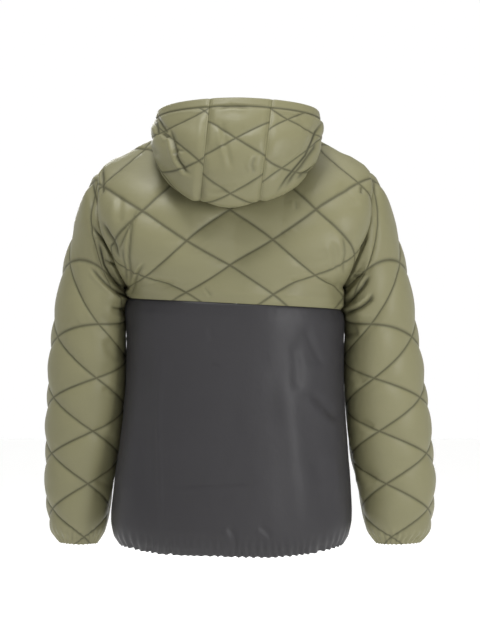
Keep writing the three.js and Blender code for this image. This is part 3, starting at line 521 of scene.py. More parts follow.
def hood_grid():
    last = HOOD_CENTRE + HOOD_SIDE
    columns = steps_of(-last, last)
    side = np.where(columns < 0, -1, 1)
    levels = np.array([hood_point(level, np.abs(columns), side) for level in range(LEVELS)])
    samples = (LEVELS - 1) * np.arange(LEVEL_SAMPLES + 1) / LEVEL_SAMPLES
    lengths = lengths_along(along(levels, samples))
    rows = steps_of(0, HOOD_ROWS)
    places = [np.interp(rows / HOOD_ROWS * run[-1], run, samples) for run in lengths.T]
    points = [along(levels[:, i], place) for i, place in enumerate(places)]
    return Cloth(np.stack(points, axis=1), columns, rows).flip()


def part_of(cloth, first, last):
    """The columns of a grid from first to last, as a panel of its own."""
    chosen = (cloth.columns >= first - 1e-9) & (cloth.columns <= last + 1e-9)
    panel = Cloth(cloth.inside[:, chosen], cloth.columns[chosen], cloth.rows)
    panel.normals = cloth.normals[:, chosen]
    return panel


yokes = {
    "back_yoke": yoke_grid(True, (-1, 1)),
    "front_yoke_left": yoke_grid(False, (1,)),
    "front_yoke_right": yoke_grid(False, (-1,)),
}
lowers = {
    "back_lower": lower_grid(True, (-1, 1)),
    "front_lower_left": lower_grid(False, (1,)),
    "front_lower_right": lower_grid(False, (-1,)),
}
sleeves = {"sleeve_left": sleeve_grid(1), "sleeve_right": sleeve_grid(-1)}
hood = hood_grid()
for name, cloth in {**yokes, **lowers, **sleeves, "hood": hood}.items():
    wide, tall = cloth.lengths(1)[:, -1], cloth.lengths(0)[-1]
    print(name, "is cut", wide.min().round(), "to", wide.max().round(), "by", tall.max().round(), "mm")

# %% [markdown]
# Where two panels are sewn together their walls have to meet, so near each seam both lean towards one
# shared direction: outwards and a little up at the neck, away from the armhole's middle at the armhole.

# %% Shared directions at the seams
def lean_to(cloth, wanted, distance, reach=14):
    share = (1 - smooth(distance / reach))[..., None]
    cloth.normals = unit(lerp(cloth.normals, wanted, share))


def armhole_direction(turn, side):
    rise = unit(np.array([TIP["x"] - ARMHOLE_X, 0, TIP["z"] - ARMPIT_Z], float))
    turn = np.radians(turn)
    out = vector(0.3, np.sin(turn), 0) + rise * np.cos(turn)[..., None]
    return unit(out) * [side, 1, 1]


for name, cloth in yokes.items():
    back = name.startswith("back")
    across = cloth.lengths(1)
    turns = upper_turn(np.clip(cloth.rows - SEAM_ROWS, 0, None), back)[:, None]
    above = smooth((cloth.rows - SEAM_ROWS) / 1.0)[:, None]
    for side, distance in ((-1, across), (1, across[:, -1:] - across)):
        if back or side > 0 and name.endswith("left") or side < 0 and name.endswith("right"):
            distance = distance if back or side * cloth.columns[-1] < side * 5 else across[:, -1:] - across
            lean_to(cloth, armhole_direction(turns, side), distance + 99 * (1 - above))
    top = cloth.lengths(0)[-1:] - cloth.lengths(0)
    edge = cloth.inside[-1:]
    column = np.abs(cloth.columns)[None, :, None]
    at_neck = unit(vector(edge[..., 0], edge[..., 1], 0.3 * NECK["half_wide"]))
    at_shoulder = unit(vector(np.sign(edge[..., 0]) * 0.42, 0, 1))
    wanted = lerp(at_neck, at_shoulder, smooth((column - NECK_COLUMNS) / 1.5))
    corner = smooth((column[..., 0] - 9) / 1)
    lean_to(cloth, wanted, top + 99 * corner)

for name, cloth in sleeves.items():
    side = 1 if name.endswith("left") else -1
    turns = 180 - cloth.columns[None] * 360 / SLEEVE_COLUMNS
    lean_to(cloth, armhole_direction(turns, side), cloth.lengths(0)[-1:] - cloth.lengths(0))

edge = hood.inside[:1]
neck_out = unit(vector(edge[..., 0], edge[..., 1], 0.3 * NECK["half_wide"] + 12))
lean_to(hood, neck_out, hood.lengths(0))
print("seams share their directions")

# %% [markdown]
# Quilting first: the padding swells between two families of stitched lines and is nipped flat on them.
# Thread pulls the cloth in as it goes, so short puckers stand across every line. They come from a
# seeded lattice of random numbers, stretched so that they are narrow along the line and long across.

# %% Swell and puckers
def rumple(u, v, seed, wrap=0):
    """Smooth random hills between -1 and 1, one hill a unit apart. wrap repeats them along u."""
    lattice = np.random.default_rng(seed).uniform(-1, 1, (256, 256))
    ui, vi = np.floor(u).astype(int), np.floor(v).astype(int)
    s, t = smooth(u - ui), smooth(v - vi)
    period = wrap or 256
    a, b = ui % period, (ui + 1) % period
    c, d = vi % 256, (vi + 1) % 256
    return lerp(lerp(lattice[a, c], lattice[b, c], s), lerp(lattice[a, d], lattice[b, d], s), t)


def line_distances(column, row):
    """For both families of lines: millimetres to the nearest line and along it, and the line's number."""
    families = []
    for across, run in ((column + row, column - row), (column - row, column + row)):
        place = across / (2 * CELLS)
        number = np.round(place)
        families.append((np.abs(place - number) * LINE_SPACING, run / (2 * CELLS) * DIAMOND_SIDE, number))
    return families


def quilt_height(column, row, loft, pucker=0.55, seed=1):
    """The swell of the padding, and how deep in a stitched line each point lies, the mask for its painted
    shade.
    """
    height = np.full(column.shape, float(loft))
    shaded_valley = np.zeros(column.shape)
    wrinkles = np.zeros(column.shape)
    for k, (away, run, number) in enumerate(line_distances(column, row)):
        height *= 1 - (1 - 2 * away / LINE_SPACING) ** 3.2
        # Each stitched line's mask dips the cloth here and later sets the painted shade mixed into its
        # colour.
        shaded_valley = np.maximum(shaded_valley, bell(away / 1.7))
        ripples = rumple(run / 6.5 + 37 * number, away / 26 + 11 * k, seed + k)
        wrinkles += pucker * ripples * np.exp(-away / 9) * (1 - 0.6 * bell(away / 2))
    return height + wrinkles - 0.5 * shaded_valley, shaded_valley


trial = np.linspace(0, 6, 7)
print("swell from a crossing to the next:", quilt_height(trial, 0 * trial, LOFT, 0)[0].round(1))

# %% [markdown]
# A crease is a soft trough along a drawn path, with the cloth it gathers standing up beside it. Paths
# are written as the X and Z of the cloth seen from behind, and one list serves each panel. A sharp crease
# also gets painted shade along its bottom.

# %% Creases
# Creases this narrow or narrower get painted shade along their bottom.
SHARP = 4


def crease(points, path, width, depth, lift=0.0, ends=(0.25, 0.25)):
    """The trough along a path of (x, z), lifted on its left side, in millimetres, and the painted shade along
    its bottom.
    """
    path = np.array(path, float)
    steps = np.linalg.norm(np.diff(path, axis=0), axis=1)
    runs = lengths_along(path)
    xz = points[..., [0, 2]]
    nearest = np.full(xz.shape[:2], 1e6)
    side = np.zeros(xz.shape[:2])
    share = np.zeros(xz.shape[:2])
    for k, step in enumerate(steps):
        way = (path[k + 1] - path[k]) / step
        off = xz - path[k]
        run = np.clip(off @ way, 0, step)
        gap = np.linalg.norm(off - run[..., None] * way, axis=-1)
        cross = way[0] * off[..., 1] - way[1] * off[..., 0]
        closer = gap < nearest
        side = np.where(closer, np.sign(cross), side)
        share = np.where(closer, (runs[k] + run) / runs[-1], share)
        nearest = np.minimum(nearest, gap)
    fade = smooth(share / ends[0]) * smooth((1 - share) / ends[1])
    hill = lift * bell((side * nearest - 1.7 * width) / (1.2 * width))
    # Painted shade along the crease's bottom, used only for sharp creases.
    dark = fade * min(depth / 4, 1.3) * bell(nearest / 1.9)
    return fade * (hill - depth * bell(nearest / width)), dark


def add_creases(cloth, creases, facing=1):
    """Adds creases, and the painted shade of sharp ones, where the cloth faces backwards (1) or forwards
    (-1).
    """
    seen = smooth((facing * cloth.normals[..., 1] + 0.1) / 0.35)
    for path, width, depth, lift in creases:
        trough, dark = crease(cloth.inside, path, width, depth, lift)
        cloth.height += seen * trough
        # Sharp creases add their painted shade to the stitched lines' mask.
        if width <= SHARP:
            cloth.shaded_valley = np.maximum(cloth.shaded_valley, seen * dark)


def tell(name, cloth):
    print(name, "stands", cloth.height.min().round(1), "to", cloth.height.max().round(1), "mm from its wall")


# %% [markdown]
# The quilted panels take their swell from their own columns and rows. It fades out at the seams, where
# the layers are sewn flat, and under the arms, where the sleeves press.

# %% Quilting of the yokes
YOKE_CREASES = (
    (((229, -76), (227, -104), (225, -130)), 3, 4.6, 1.2),
    (((221, -170), (210, -195), (200, -216), (192, -236)), 3, 4.4, 1.6),
    (((164, -152), (178, -184), (190, -210), (195, -226)), 3.5, 3.2, -2.2),
    (((195, -128), (195, -152), (194, -182)), 6, 2.8, 1.4),
    (((173, -160), (175, -205), (177, -243), (179, -286)), 3.5, 3.2, 2.0),
    (((186, -214), (186, -246), (184, -276)), 3, 3.0, -1.4),
    (((150, -240), (164, -260), (172, -279), (177, -300)), 3, 2.4, 1.4),
    (((52, -284), (38, -303)), 3, 1.2, 0.8),
    (((-104, -140), (-106, -158)), 4, 1.2, 0.8),
    (((-218, -112), (-215, -128)), 3, 3.4, 1.0),
    (((-176, -108), (-192, -122), (-205, -140), (-207, -154)), 4.5, 2.2, -1.6),
    (((-182, -196), (-186, -226), (-184, -262)), 4, 2.4, 1.4),
    (((-160, -204), (-172, -232), (-176, -262)), 6, 1.8, 1.2),
    (((-150, -36), (-205, -52)), 8, 1.8, -1.0),
    (((150, -40), (210, -62)), 8, 1.6, 1.0),
)
FRONT_CREASES = (
    (((196, -122), (186, -170), (172, -205)), 9, 2.2, 1.6),
    (((178, -190), (180, -235), (172, -270)), 6, 2.2, 1.4),
    (((-198, -118), (-190, -165), (-176, -212)), 8, 2.0, 1.6),
    (((-180, -205), (-178, -240), (-168, -272)), 6, 2.2, -1.2),
    (((120, -60), (92, -120), (84, -170)), 12, 1.8, 1.0),
    (((-118, -64), (-94, -124), (-90, -160)), 12, 1.6, 1.0),
)

for seed, (name, cloth) in enumerate(yokes.items()):
    back = name.startswith("back")
    column = np.broadcast_to(cloth.columns, cloth.height.shape) - (0.35 if back else 0)
    row = cloth.rows[:, None] - 2 * SEAM_ROWS + 0 * column
    x, z = np.abs(cloth.inside[..., 0]), cloth.inside[..., 2]
    from_top = SEAM_ROWS + UPPER_ROWS - cloth.rows[:, None]
    near_neck = smooth((6 - np.abs(column)) / 2.5) * smooth(1 - from_top / 5)
    under_arm = smooth((x - 150) / 30) * smooth((-225 - z) / 30)
    sewn = cloth.from_edges()
    height, cloth.shaded_valley = quilt_height(column, row, LOFT, seed=10 * seed + 3)
    press = (1 - 0.8 * near_neck) * (1 - 0.7 * under_arm)
    broad = 1.1 * rumple(cloth.inside[..., 0] / 46, z / 34, 70 + seed)
    cloth.height = (height * press + broad * press) * smooth(sewn / 20)
    add_creases(cloth, YOKE_CREASES if back else FRONT_CREASES, 1 if back else -1)
    cloth.height += 4 * smooth((x - 176) / 8) * smooth((-284 - z) / 8) * smooth(sewn / 7)
    deep = smooth((-120 - z) / 120) * smooth((x - 150) / 40)
    cloth.height -= (1.7 + 1.6 * deep) * bell(sewn / 3.4)
    tell(name, cloth)

# %% [markdown]
# The sleeves carry the deepest folds, where the arm hangs and the armhole bunches. Close to the trunk the
# padding is pressed thin. The elastic in each cuff gathers the last centimetres into uneven pleats.

# %% Quilting of the sleeves
SLEEVE_CREASES = {
    "sleeve_left": (
        (((250, -92), (245, -116), (236, -146), (226, -172)), 3.5, 4.6, -2.2),
        (((248, -174), (239, -190), (228, -203), (217, -217), (204, -234), (194, -252)), 3.5, 5.6, 2.6),
        (((237, -200), (232, -226), (228, -246), (219, -263), (208, -278), (195, -290)), 4, 6.6, -3.0),
        (((232, -236), (216, -240), (204, -246)), 3, 3.2, 1.4),
        (((251, -248), (237, -266), (222, -283), (203, -303)), 3.5, 3.8, 1.8),
        (((218, -292), (204, -300), (190, -306)), 3.5, 4.0, 1.6),
        (((224, -318), (208, -322), (194, -318)), 4, 3.4, -1.6),
        (((262, -168), (258, -205), (249, -246)), 11, 1.6, -2.2),
        (((207, -352), (226, -340), (240, -330)), 6, 2.6, 1.6),
        (((205, -420), (222, -398), (232, -372)), 7, 2.8, -1.6),
        (((212, -470), (236, -462)), 6, 2.2, 1.2),
        (((214, -556), (240, -540), (262, -536)), 7, 2.0, 1.2),
        (((222, -640), (250, -622)), 6, 2.2, -1.2),
    ),
    "sleeve_right": (
        (((-244, -94), (-243, -112), (-244, -126)), 4, 3.0, 1.6),
        (((-237, -116), (-233, -132), (-222, -155), (-212, -178)), 3, 5.0, 2.6),
        (((-218, -186), (-206, -204), (-198, -222), (-192, -240)), 3, 5.0, 2.2),
        (((-232, -188), (-221, -210), (-209, -230), (-203, -248), (-199, -266)), 4, 6.8, -3.0),
        (((-228, -258), (-220, -264), (-204, -262)), 3, 3.0, 1.2),
        (((-236, -262), (-226, -282), (-214, -302), (-202, -318)), 3.5, 4.8, 2.4),
        (((-241, -292), (-237, -306), (-225, -318), (-200, -334)), 4, 5.6, 2.6),
        (((-244, -338), (-218, -346), (-196, -344)), 5, 2.2, 1.4),
        (((-222, -362), (-204, -366), (-190, -362)), 6, 3.6, -1.8),
        (((-214, -432), (-232, -452)), 7, 2.2, 1.4),
        (((-222, -520), (-246, -532)), 7, 2.2, 1.2),
        (((-228, -610), (-252, -628)), 7, 2.2, 1.4),
    ),
}
SLEEVE_CROSSING = 4
PRESSED_OUT = {"beside_trunk": 1.8, "armpit": 6, "notch": 3.5, "below": {1: 1.6, -1: 0}}


def gathers(cloth, level, count, depth, seed):
    """Uneven pleats that run up from a gathered edge, deepest at the edge."""
    around = cloth.columns / (cloth.columns[-1] - cloth.columns[0]) * count
    drift = 0.35 * rumple(around[None] * 0.45, level / 22, seed)
    pleats = np.cos(2 * np.pi * (around[None] + drift))
    uneven = 0.75 + 0.45 * rumple(around[None] * 0.9 + 0.5, level / 60 + 3, seed + 1)
    return depth * uneven * (pleats - 1) / 2


for seed, (name, cloth) in enumerate(sleeves.items()):
    side = 1 if name.endswith("left") else -1
    column = np.broadcast_to(cloth.columns, cloth.height.shape)
    row = cloth.rows[:, None] - SLEEVE_CROSSING + 0 * column
    up = cloth.lengths(0)
    z = cloth.inside[..., 2]
    inwards = smooth((-side * cloth.normals[..., 0] - 0.2) / 0.5)
    beside = smooth((z + 560) / 60)
    press = lerp(1, 0.4, inwards * np.maximum(beside, 0.6))
    height, cloth.shaded_valley = quilt_height(column, row, LOFT, seed=20 + 10 * seed)
    around = cloth.columns[None] / 5 * 3
    broad = 1.3 * rumple(around, up / 42, 90 + seed, wrap=9)
    underarm = np.minimum(cloth.lengths(1), cloth.lengths(1)[:, -1:] - cloth.lengths(1))
    sewn = np.minimum(underarm, up[-1:] - up)
    cloth.height = (height + broad) * press * smooth(up / 34) * smooth(sewn / 16)
    add_creases(cloth, SLEEVE_CREASES[name])
    opposite = "sleeve_right" if side > 0 else "sleeve_left"
    other = [([(-a, b) for a, b in path], w, d, -l) for path, w, d, l in SLEEVE_CREASES[opposite]]
    add_creases(cloth, other, -1)
    beside_trunk = PRESSED_OUT["beside_trunk"] * bell((z + 430) / 150)
    armpit = PRESSED_OUT["armpit"] * (bell((z + 308) / 36) * smooth(sewn / 9))
    notch = PRESSED_OUT["notch"] * bell((z - seam_z(1, side)) / 9)
    below = PRESSED_OUT["below"][side] * bell((z + 356) / 24)
    cloth.height += (beside_trunk + armpit + notch + below) * inwards
    low = smooth((-150 - z) / 120)
    cloth.height -= (1.7 + 1.2 * low) * bell((up[-1:] - up) / 3.6) + 1.4 * bell(underarm / 3)
    fade = smooth(1 - up / 46)
    cloth.height += fade * gathers(cloth, up, 30, 4.2, 130 + seed)
    cloth.height[:, -1] = cloth.height[:, 0]
    tell(name, cloth)

# %% [markdown]
# The lower cloth is plain, so all its form is in a few broad soft folds, some faint creases and the
# gathers of the hem, which curls under on its elastic.

# %% Folds of the lower cloth
LOWER_CREASES = {
    "back_lower": (
        (((150, -330), (156, -500), (150, -700)), 17, 3.4, 0),
        (((122, -390), (128, -520), (124, -715)), 5, -2.2, 0),
        (((-84, -420), (-98, -540), (-112, -640), (-118, -722)), 22, -4.2, 0),
        (((-116, -350), (-134, -392), (-150, -424)), 7, 2.6, -1.2),
        (((-100, -372), (-104, -420), (-104, -470)), 10, 2.6, 0),
        (((-126, -462), (-160, -500), (-184, -522)), 9, 2.6, 1.4),
        (((-132, -560), (-146, -620), (-150, -700)), 14, 2.4, 0),
        (((-160, -560), (-172, -610), (-170, -660)), 8, -1.6, 0),
        (((116, -628), (70, -625), (24, -623), (-50, -619)), 3, 0.9, 0.5),
        (((42, -414), (24, -421)), 3, 0.8, 0.3),
        (((-40, -690), (-52, -700), (-62, -712)), 5, 1.6, 1.0),
        (((12, -690), (2, -706), (-4, -728)), 5, 2.6, 1.8),
        (((44, -352), (36, -380)), 5, 0.8, 0.4),
    ),
    "front_lower_left": (
        (((150, -340), (146, -500), (152, -690)), 18, 3.0, 0),
        (((86, -420), (96, -540), (104, -710)), 20, -3.2, 0),
        (((120, -352), (96, -396), (70, -420)), 7, 2.2, 1.2),
        (((30, -610), (70, -616), (112, -610)), 3, 0.8, 0.4),
        (((60, -690), (66, -712), (70, -730)), 5, 2.2, 1.6),
    ),
    "front_lower_right": (
        (((-148, -336), (-150, -500), (-144, -690)), 18, 3.0, 0),
        (((-90, -440), (-84, -560), (-98, -715)), 20, -3.2, 0),
        (((-118, -350), (-86, -404), (-60, -424)), 7, 2.2, -1.2),
        (((-50, -690), (-56, -712), (-54, -730)), 5, 2.2, 1.6),
    ),
}

for seed, (name, cloth) in enumerate(lowers.items()):
    back = name.startswith("back")
    up = cloth.lengths(0)
    sewn = cloth.from_edges(bottom=False)
    x, z = cloth.inside[..., 0], cloth.inside[..., 2]
    soft = 0.8 * rumple(x / 60, z / 90, 150 + seed) + 0.35 * rumple(x / 22, z / 34, 160 + seed)
    beside_sleeve = bell((z + 430) / 150) * smooth((np.abs(x) - 165) / 20)
    armpit = bell((z + 320) / 26) * smooth((np.abs(x) - 172) / 14) * smooth(sewn / 8)
    cloth.height = (2.6 + soft + 1.1 * beside_sleeve) * smooth(sewn / 26) + 3 * armpit
    add_creases(cloth, LOWER_CREASES[name], 1 if back else -1)
    puckered = 0.5 * rumple(cloth.columns[None] * 3.1, (up[-1:] - up) / 30, 170 + seed)
    cloth.height += puckered * np.exp(-(up[-1:] - up) / 12) * smooth(sewn / 5)
    cloth.height -= 1.7 * bell(sewn / 3.4)
    steady = smooth(cloth.from_edges(bottom=False, top=False) / 14)
    fade = smooth(1 - up / 44) * steady
    cloth.height += fade * gathers(cloth, up, 40 if back else 20, 4.6, 180 + seed)
    tell(name, cloth)

# %% [markdown]
# The hood hangs down the back as a soft bag of three panels. A wide hem runs round its rim, and both
# seams of the middle panel have two rows of topstitching. Its quilting was cut where each panel was cut,
# so the lines of one panel do not meet those of the next.

# %% The hood's panels
HOOD_CREASES = (
    (((134, 4), (130, -12), (127, -30)), 3, 4.4, 2.4),
    (((132, 10), (121, -12), (109, -30)), 3.5, 4.6, -2.6),
    (((122, -24), (112, -34), (104, -34)), 3, 3.6, 1.6),
    (((109, -14), (101, -38), (91, -74), (80, -92), (66, -98)), 3.5, 4.4, 2.6),
    (((100, -66), (92, -58), (80, -60)), 3, 2.2, 1.2),
    (((150, -30), (134, -52), (122, -70)), 5, 2.0, 1.4),
    (((-148, 8), (-134, -26), (-118, -64), (-92, -96), (-62, -130)), 3.5, 5.0, -2.8),
    (((-140, -24), (-132, -50), (-110, -82), (-92, -104), (-76, -120)), 4, 4.0, 2.0),
    (((-152, -40), (-140, -68), (-122, -86), (-98, -104)), 3, 4.2, 2.2),
    (((-102, 6), (-116, -18), (-122, -34)), 5, 1.6, 1.2),
    (((22, -10), (16, -46), (4, -96)), 4.5, 2.4, 1.4),
    (((52, -6), (48, -44), (44, -70)), 6, 1.2, -0.8),
    (((-34, -68), (-28, -84), (-32, -98)), 3.5, 1.8, 1.2),
    (((28, 8), (6, 14), (-26, 10)), 4, 1.8, 1.2),
    (((60, -118), (24, -122), (-10, -116)), 5, 1.8, 1.4),
)
HOOD_PANELS = {
    "hood_center": {"from": -HOOD_CENTRE, "to": HOOD_CENTRE, "shift": 0.0, "slip": 0.0},
    "hood_side_left": {"from": HOOD_CENTRE, "to": 12, "shift": 0.55, "slip": 0.35},
    "hood_side_right": {"from": -12, "to": -HOOD_CENTRE, "shift": 0.4, "slip": -0.6},
}
RIM_HEM = 17

hoods = {}
for seed, (name, panel) in enumerate(HOOD_PANELS.items()):
    cloth = part_of(hood, panel["from"], panel["to"])
    column = np.broadcast_to(cloth.columns, cloth.height.shape) + panel["shift"]
    row = HOOD_ROWS - 5 - cloth.rows[:, None] + panel["slip"] + 0 * column
    from_rim = cloth.lengths(0)[-1:] - cloth.lengths(0)
    from_neck = cloth.lengths(0)
    sewn = cloth.from_edges(top=False, bottom=False)
    front = smooth((cloth.inside[..., 1] + 60) / 60)
    crest = smooth(from_neck / 90) * lerp(0.2, 0.9, front)
    height, cloth.shaded_valley = quilt_height(column, row, 0.85 * LOFT, pucker=0.5, seed=200 + 10 * seed)
    inside_hem = smooth((from_rim - RIM_HEM) / 9)
    # The quilting's painted shade stops at the hem.
    cloth.shaded_valley *= smooth((from_rim - RIM_HEM) / 2)
    broad = 1.6 * rumple(cloth.columns[None] * 0.62, cloth.rows[:, None] * 0.5, 230 + seed)
    cloth.height = (height + broad) * crest * inside_hem * smooth(sewn / 13)
    add_creases(cloth, HOOD_CREASES)
    hem_roll = 1.5 * smooth(from_rim / 3) * smooth((RIM_HEM - from_rim) / 5 + 0.6)
    cloth.height += hem_roll * front - 0.9 * bell((from_rim - RIM_HEM) / 2)
    # The hem's seam line gets painted shade too.
    cloth.shaded_valley = np.maximum(cloth.shaded_valley, bell((from_rim - RIM_HEM) / 1.6))
    cloth.height -= 1.7 * bell(sewn / 3) + 1.7 * bell(from_neck / 4)
    hoods[name] = cloth
    tell(name, cloth)

# %% [markdown]
# A wall is made from a grid: fine triangles outside, split along the lower diagonal so that each stitched
# line is an edge, a plain coarse inside, and a strip of faces round the rim that joins the two.

# %% Walls of cloth
made = {}


def to_object(name, points, faces, smooth_faces=True):
    """A mesh object from points in millimetres."""
    mesh = bpy.data.meshes.new(name)
    mesh.from_pydata((np.asarray(points) * MM).tolist(), [], faces)
    mesh.update()
    if smooth_faces:
        mesh.polygons.foreach_set("use_smooth", [True] * len(mesh.polygons))
    piece = bpy.data.objects.new(name, mesh)
    bpy.context.collection.objects.link(piece)
    return piece


def border_faces(outer, inner, forward):
    """Faces between a run of outer points and the coarser run of inner points beside it."""
    faces = []
    for k in range(len(inner) - 1):
        face = [*outer[k * FINE_INSIDE : (k + 1) * FINE_INSIDE + 1], inner[k + 1], inner[k]]
        faces.append(face if forward else face[::-1])
    return faces


def make_wall(name, cloth):
    """One closed wall. A closed grid repeats its first column at its end."""
    outer = cloth.outside
    rows, columns = outer.shape[:2]
    width = columns - 1 if cloth.closed else columns
    inner = cloth.inside[::FINE_INSIDE, ::FINE_INSIDE]
    inner_rows, inner_columns = inner.shape[:2]
    inner_width = inner_columns - 1 if cloth.closed else inner_columns
    ids = np.arange(rows)[:, None] * width + np.arange(columns)[None] % width
    inner_ids = rows * width + np.arange(inner_rows)[:, None] * inner_width
    inner_ids = inner_ids + np.arange(inner_columns)[None] % inner_width
    a, b, c, d = ids[:-1, :-1], ids[:-1, 1:], ids[1:, 1:], ids[1:, :-1]
    h = cloth.height
    straight = (h[:-1, :-1] + h[1:, 1:] <= h[:-1, 1:] + h[1:, :-1])[..., None]
    first = np.where(straight, np.stack([a, b, c], -1), np.stack([a, b, d], -1))
    second = np.where(straight, np.stack([a, c, d], -1), np.stack([b, c, d], -1))
    mid = (rows // 2, columns // 2)
    across = cloth.inside[mid[0], mid[1] + 1] - cloth.inside[mid]
    up = cloth.inside[mid[0] + 1, mid[1]] - cloth.inside[mid]
    forward = np.dot(np.cross(across, up), cloth.normals[mid]) > 0
    outer_faces = np.concatenate([first.reshape(-1, 3), second.reshape(-1, 3)])
    a, b, c, d = inner_ids[:-1, :-1], inner_ids[:-1, 1:], inner_ids[1:, 1:], inner_ids[1:, :-1]
    inner_faces = np.stack([a, d, c, b], -1).reshape(-1, 4)
    if not forward:
        outer_faces, inner_faces = outer_faces[:, ::-1], inner_faces[:, ::-1]
    faces = outer_faces.tolist() + inner_faces.tolist()
    faces += border_faces(ids[0].tolist(), inner_ids[0].tolist(), not forward)
    faces += border_faces(ids[-1].tolist(), inner_ids[-1].tolist(), forward)
    if not cloth.closed:
        faces += border_faces(ids[:, 0].tolist(), inner_ids[:, 0].tolist(), forward)
        faces += border_faces(ids[:, -1].tolist(), inner_ids[:, -1].tolist(), not forward)
    points = np.concatenate([outer[:, :width].reshape(-1, 3), inner[:, :inner_width].reshape(-1, 3)])
    piece = to_object(name + "_cloth", points, faces)
    indices = np.zeros(len(faces), int)
    indices[len(outer_faces) :] = 1
    piece.data.polygons.foreach_set("material_index", indices.tolist())
    # The mesh keeps the mask of painted shade as a point attribute, which the cloth's material reads.
    shaded_valley = np.zeros(len(points))
    shaded_valley[: rows * width] = cloth.shaded_valley[:, :width].ravel()
    piece.data.attributes.new("shaded_valley", "FLOAT", "POINT").data.foreach_set("value", shaded_valley)
    made[name] = piece
    print(name, len(faces), "faces, closed:", is_closed(piece))
    return piece


def is_closed(piece):
    edges = {}
    for polygon in piece.data.polygons:
        for edge in polygon.edge_keys:
            edges[edge] = edges.get(edge, 0) + 1
    return all(count == 2 for count in edges.values())


panels = {**yokes, **lowers, **sleeves, **hoods}
for name, cloth in panels.items():
    make_wall(name, cloth)

# %% [markdown]
# The hem and cuffs end on a dark elastic edge that shows as a narrow line. It follows the gathers just
# inside the cloth, ribbed across.

# %% Elastic at the hem and cuffs
BAND = {"inside": 4.2, "thick": 2, "below": 1.5, "tall": 10}


def make_band(name, cloth, closed, ribs=150):
    """A ribbed band just inside the gathered edge of a grid."""
    count = cloth.inside.shape[1] - (1 if closed else 0)
    level = np.array([0, 0.12, 0.5, 0.88, 1])
    up = cloth.lengths(0)
    rows = [np.interp(BAND["tall"] * share, up[:, 0], np.arange(len(up))) for share in level]
    rings = []
    for depth in (BAND["inside"], BAND["inside"] + BAND["thick"]):
        for k in level if depth == BAND["inside"] else level[::-1]:
            row = rows[int(np.argmin(np.abs(level - k)))]
            base = along(cloth.inside, np.full(count, row))[0][:count]
            out = along(cloth.normals, np.full(count, row))[0][:count]
            fold = np.minimum(cloth.height[0, :count], 0)
            edge = 0.5 if k in (0, 1) else 0.0
            rib = 0.25 * np.cos(np.arange(count) * 2 * np.pi * ribs / count) if depth == BAND["inside"] else 0
            inset = depth * np.ones(count) + rib + (edge if depth == BAND["inside"] else -edge) - 0.4 * fold
            ring = base - out * inset[:, None]
            ring[:, 2] -= BAND["below"] * (1 - k)
            rings.append(ring)
    points = np.concatenate(rings)
    total = len(rings)
    faces = []
    for r in range(total):
        for i in range(count if closed else count - 1):
            j = (i + 1) % count
            s = (r + 1) % total
            faces.append((r * count + i, r * count + j, s * count + j, s * count + i))
    if not closed:
        faces.append([r * count for r in range(total)][::-1])
        faces.append([r * count + count - 1 for r in range(total)])
    piece = to_object(name + "_elastic", points, faces)
    made[name] = piece
    return piece


def hem_ring():
    """The three lower panels' bottom rows, joined round from one front edge to the other."""
    order = (lowers["front_lower_left"], lowers["back_lower"], lowers["front_lower_right"])
    clear = round(1.3 * FINE)
    turned = (slice(clear, None), slice(-2, 0, -1), slice(None, clear - 1, -1))
    ring = Cloth.__new__(Cloth)
    for field in ("inside", "normals", "height"):
        parts = [getattr(cloth, field)[:, cut] for cloth, cut in zip(order, turned)]
        setattr(ring, field, np.concatenate(parts, axis=1))
    return ring


make_band("hem_binding", hem_ring(), closed=False)
for side, name in (("left", "cuff_binding_left"), ("right", "cuff_binding_right")):
    make_band(name, sleeves["sleeve_" + side], closed=True)
for name in ("hem_binding", "cuff_binding_left", "cuff_binding_right"):
    low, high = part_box(name)
    points = np.array([v.co for v in made[name].data.vertices])
    print(name, "solid", [round(float(v), 3) for v in (*low, *high)])
    print(name, "made", points.min(0).round(3), points.max(0).round(3))

# %% [markdown]
# Every quilting line, the hood's rim hem and the two seams of its middle panel are real thread: short
# stitches lie in the valley of each line, a few millimetres long with a small gap between them. They are
# joined into one mesh for each panel.

# %% Stitches
STITCH = {"pitch": 3.6, "long": 2.6, "half_thick": 0.32, "sunk": 0.25, "sides": 0.1, "top": 0.5, "under": 0.4}


def on_grid(values, cloth, columns, rows):
    """Values of a grid at places given by column and row numbers."""
    way = np.sign(cloth.columns[-1] - cloth.columns[0])
    i = np.interp(way * columns, way * cloth.columns, np.arange(len(cloth.columns)))
    j = np.interp(rows, cloth.rows, np.arange(len(cloth.rows)))
    i0 = np.minimum(i.astype(int), len(cloth.columns) - 2)
    j0 = np.minimum(j.astype(int), len(cloth.rows) - 2)
    s, t = (i - i0)[:, None], (j - j0)[:, None]
    low = lerp(values[j0, i0], values[j0, i0 + 1], s)
    high = lerp(values[j0 + 1, i0], values[j0 + 1, i0 + 1], s)
    return lerp(low, high, t)


def stitches_along(cloth, columns, rows):
    """Stitches along a line of the grid: each is a thin spindle that dips into the cloth at its ends."""
    points = on_grid(cloth.outside, cloth, columns, rows)
    normals = unit(on_grid(cloth.normals, cloth, columns, rows))
    runs = lengths_along(points)
    count = int(runs[-1] / STITCH["pitch"])
    if count < 2:
        return np.zeros((0, 6, 3))
    middles = (np.arange(count) + 0.5) * runs[-1] / count
    centre = at_run(middles, runs, points)
    out = unit(at_run(middles, runs, normals))
    start = at_run(middles - STITCH["long"] / 2, runs, points) - STITCH["sunk"] * out
    end = at_run(middles + STITCH["long"] / 2, runs, points) - STITCH["sunk"] * out
    side = unit(np.cross(end - start, out)) * STITCH["half_thick"]
    sides = [centre + way * side + STITCH["sides"] * out for way in (1, -1)]
    top, under = centre + STITCH["top"] * out, centre - STITCH["under"] * out
    return np.stack([start, sides[0], top, sides[1], under, end], axis=1)


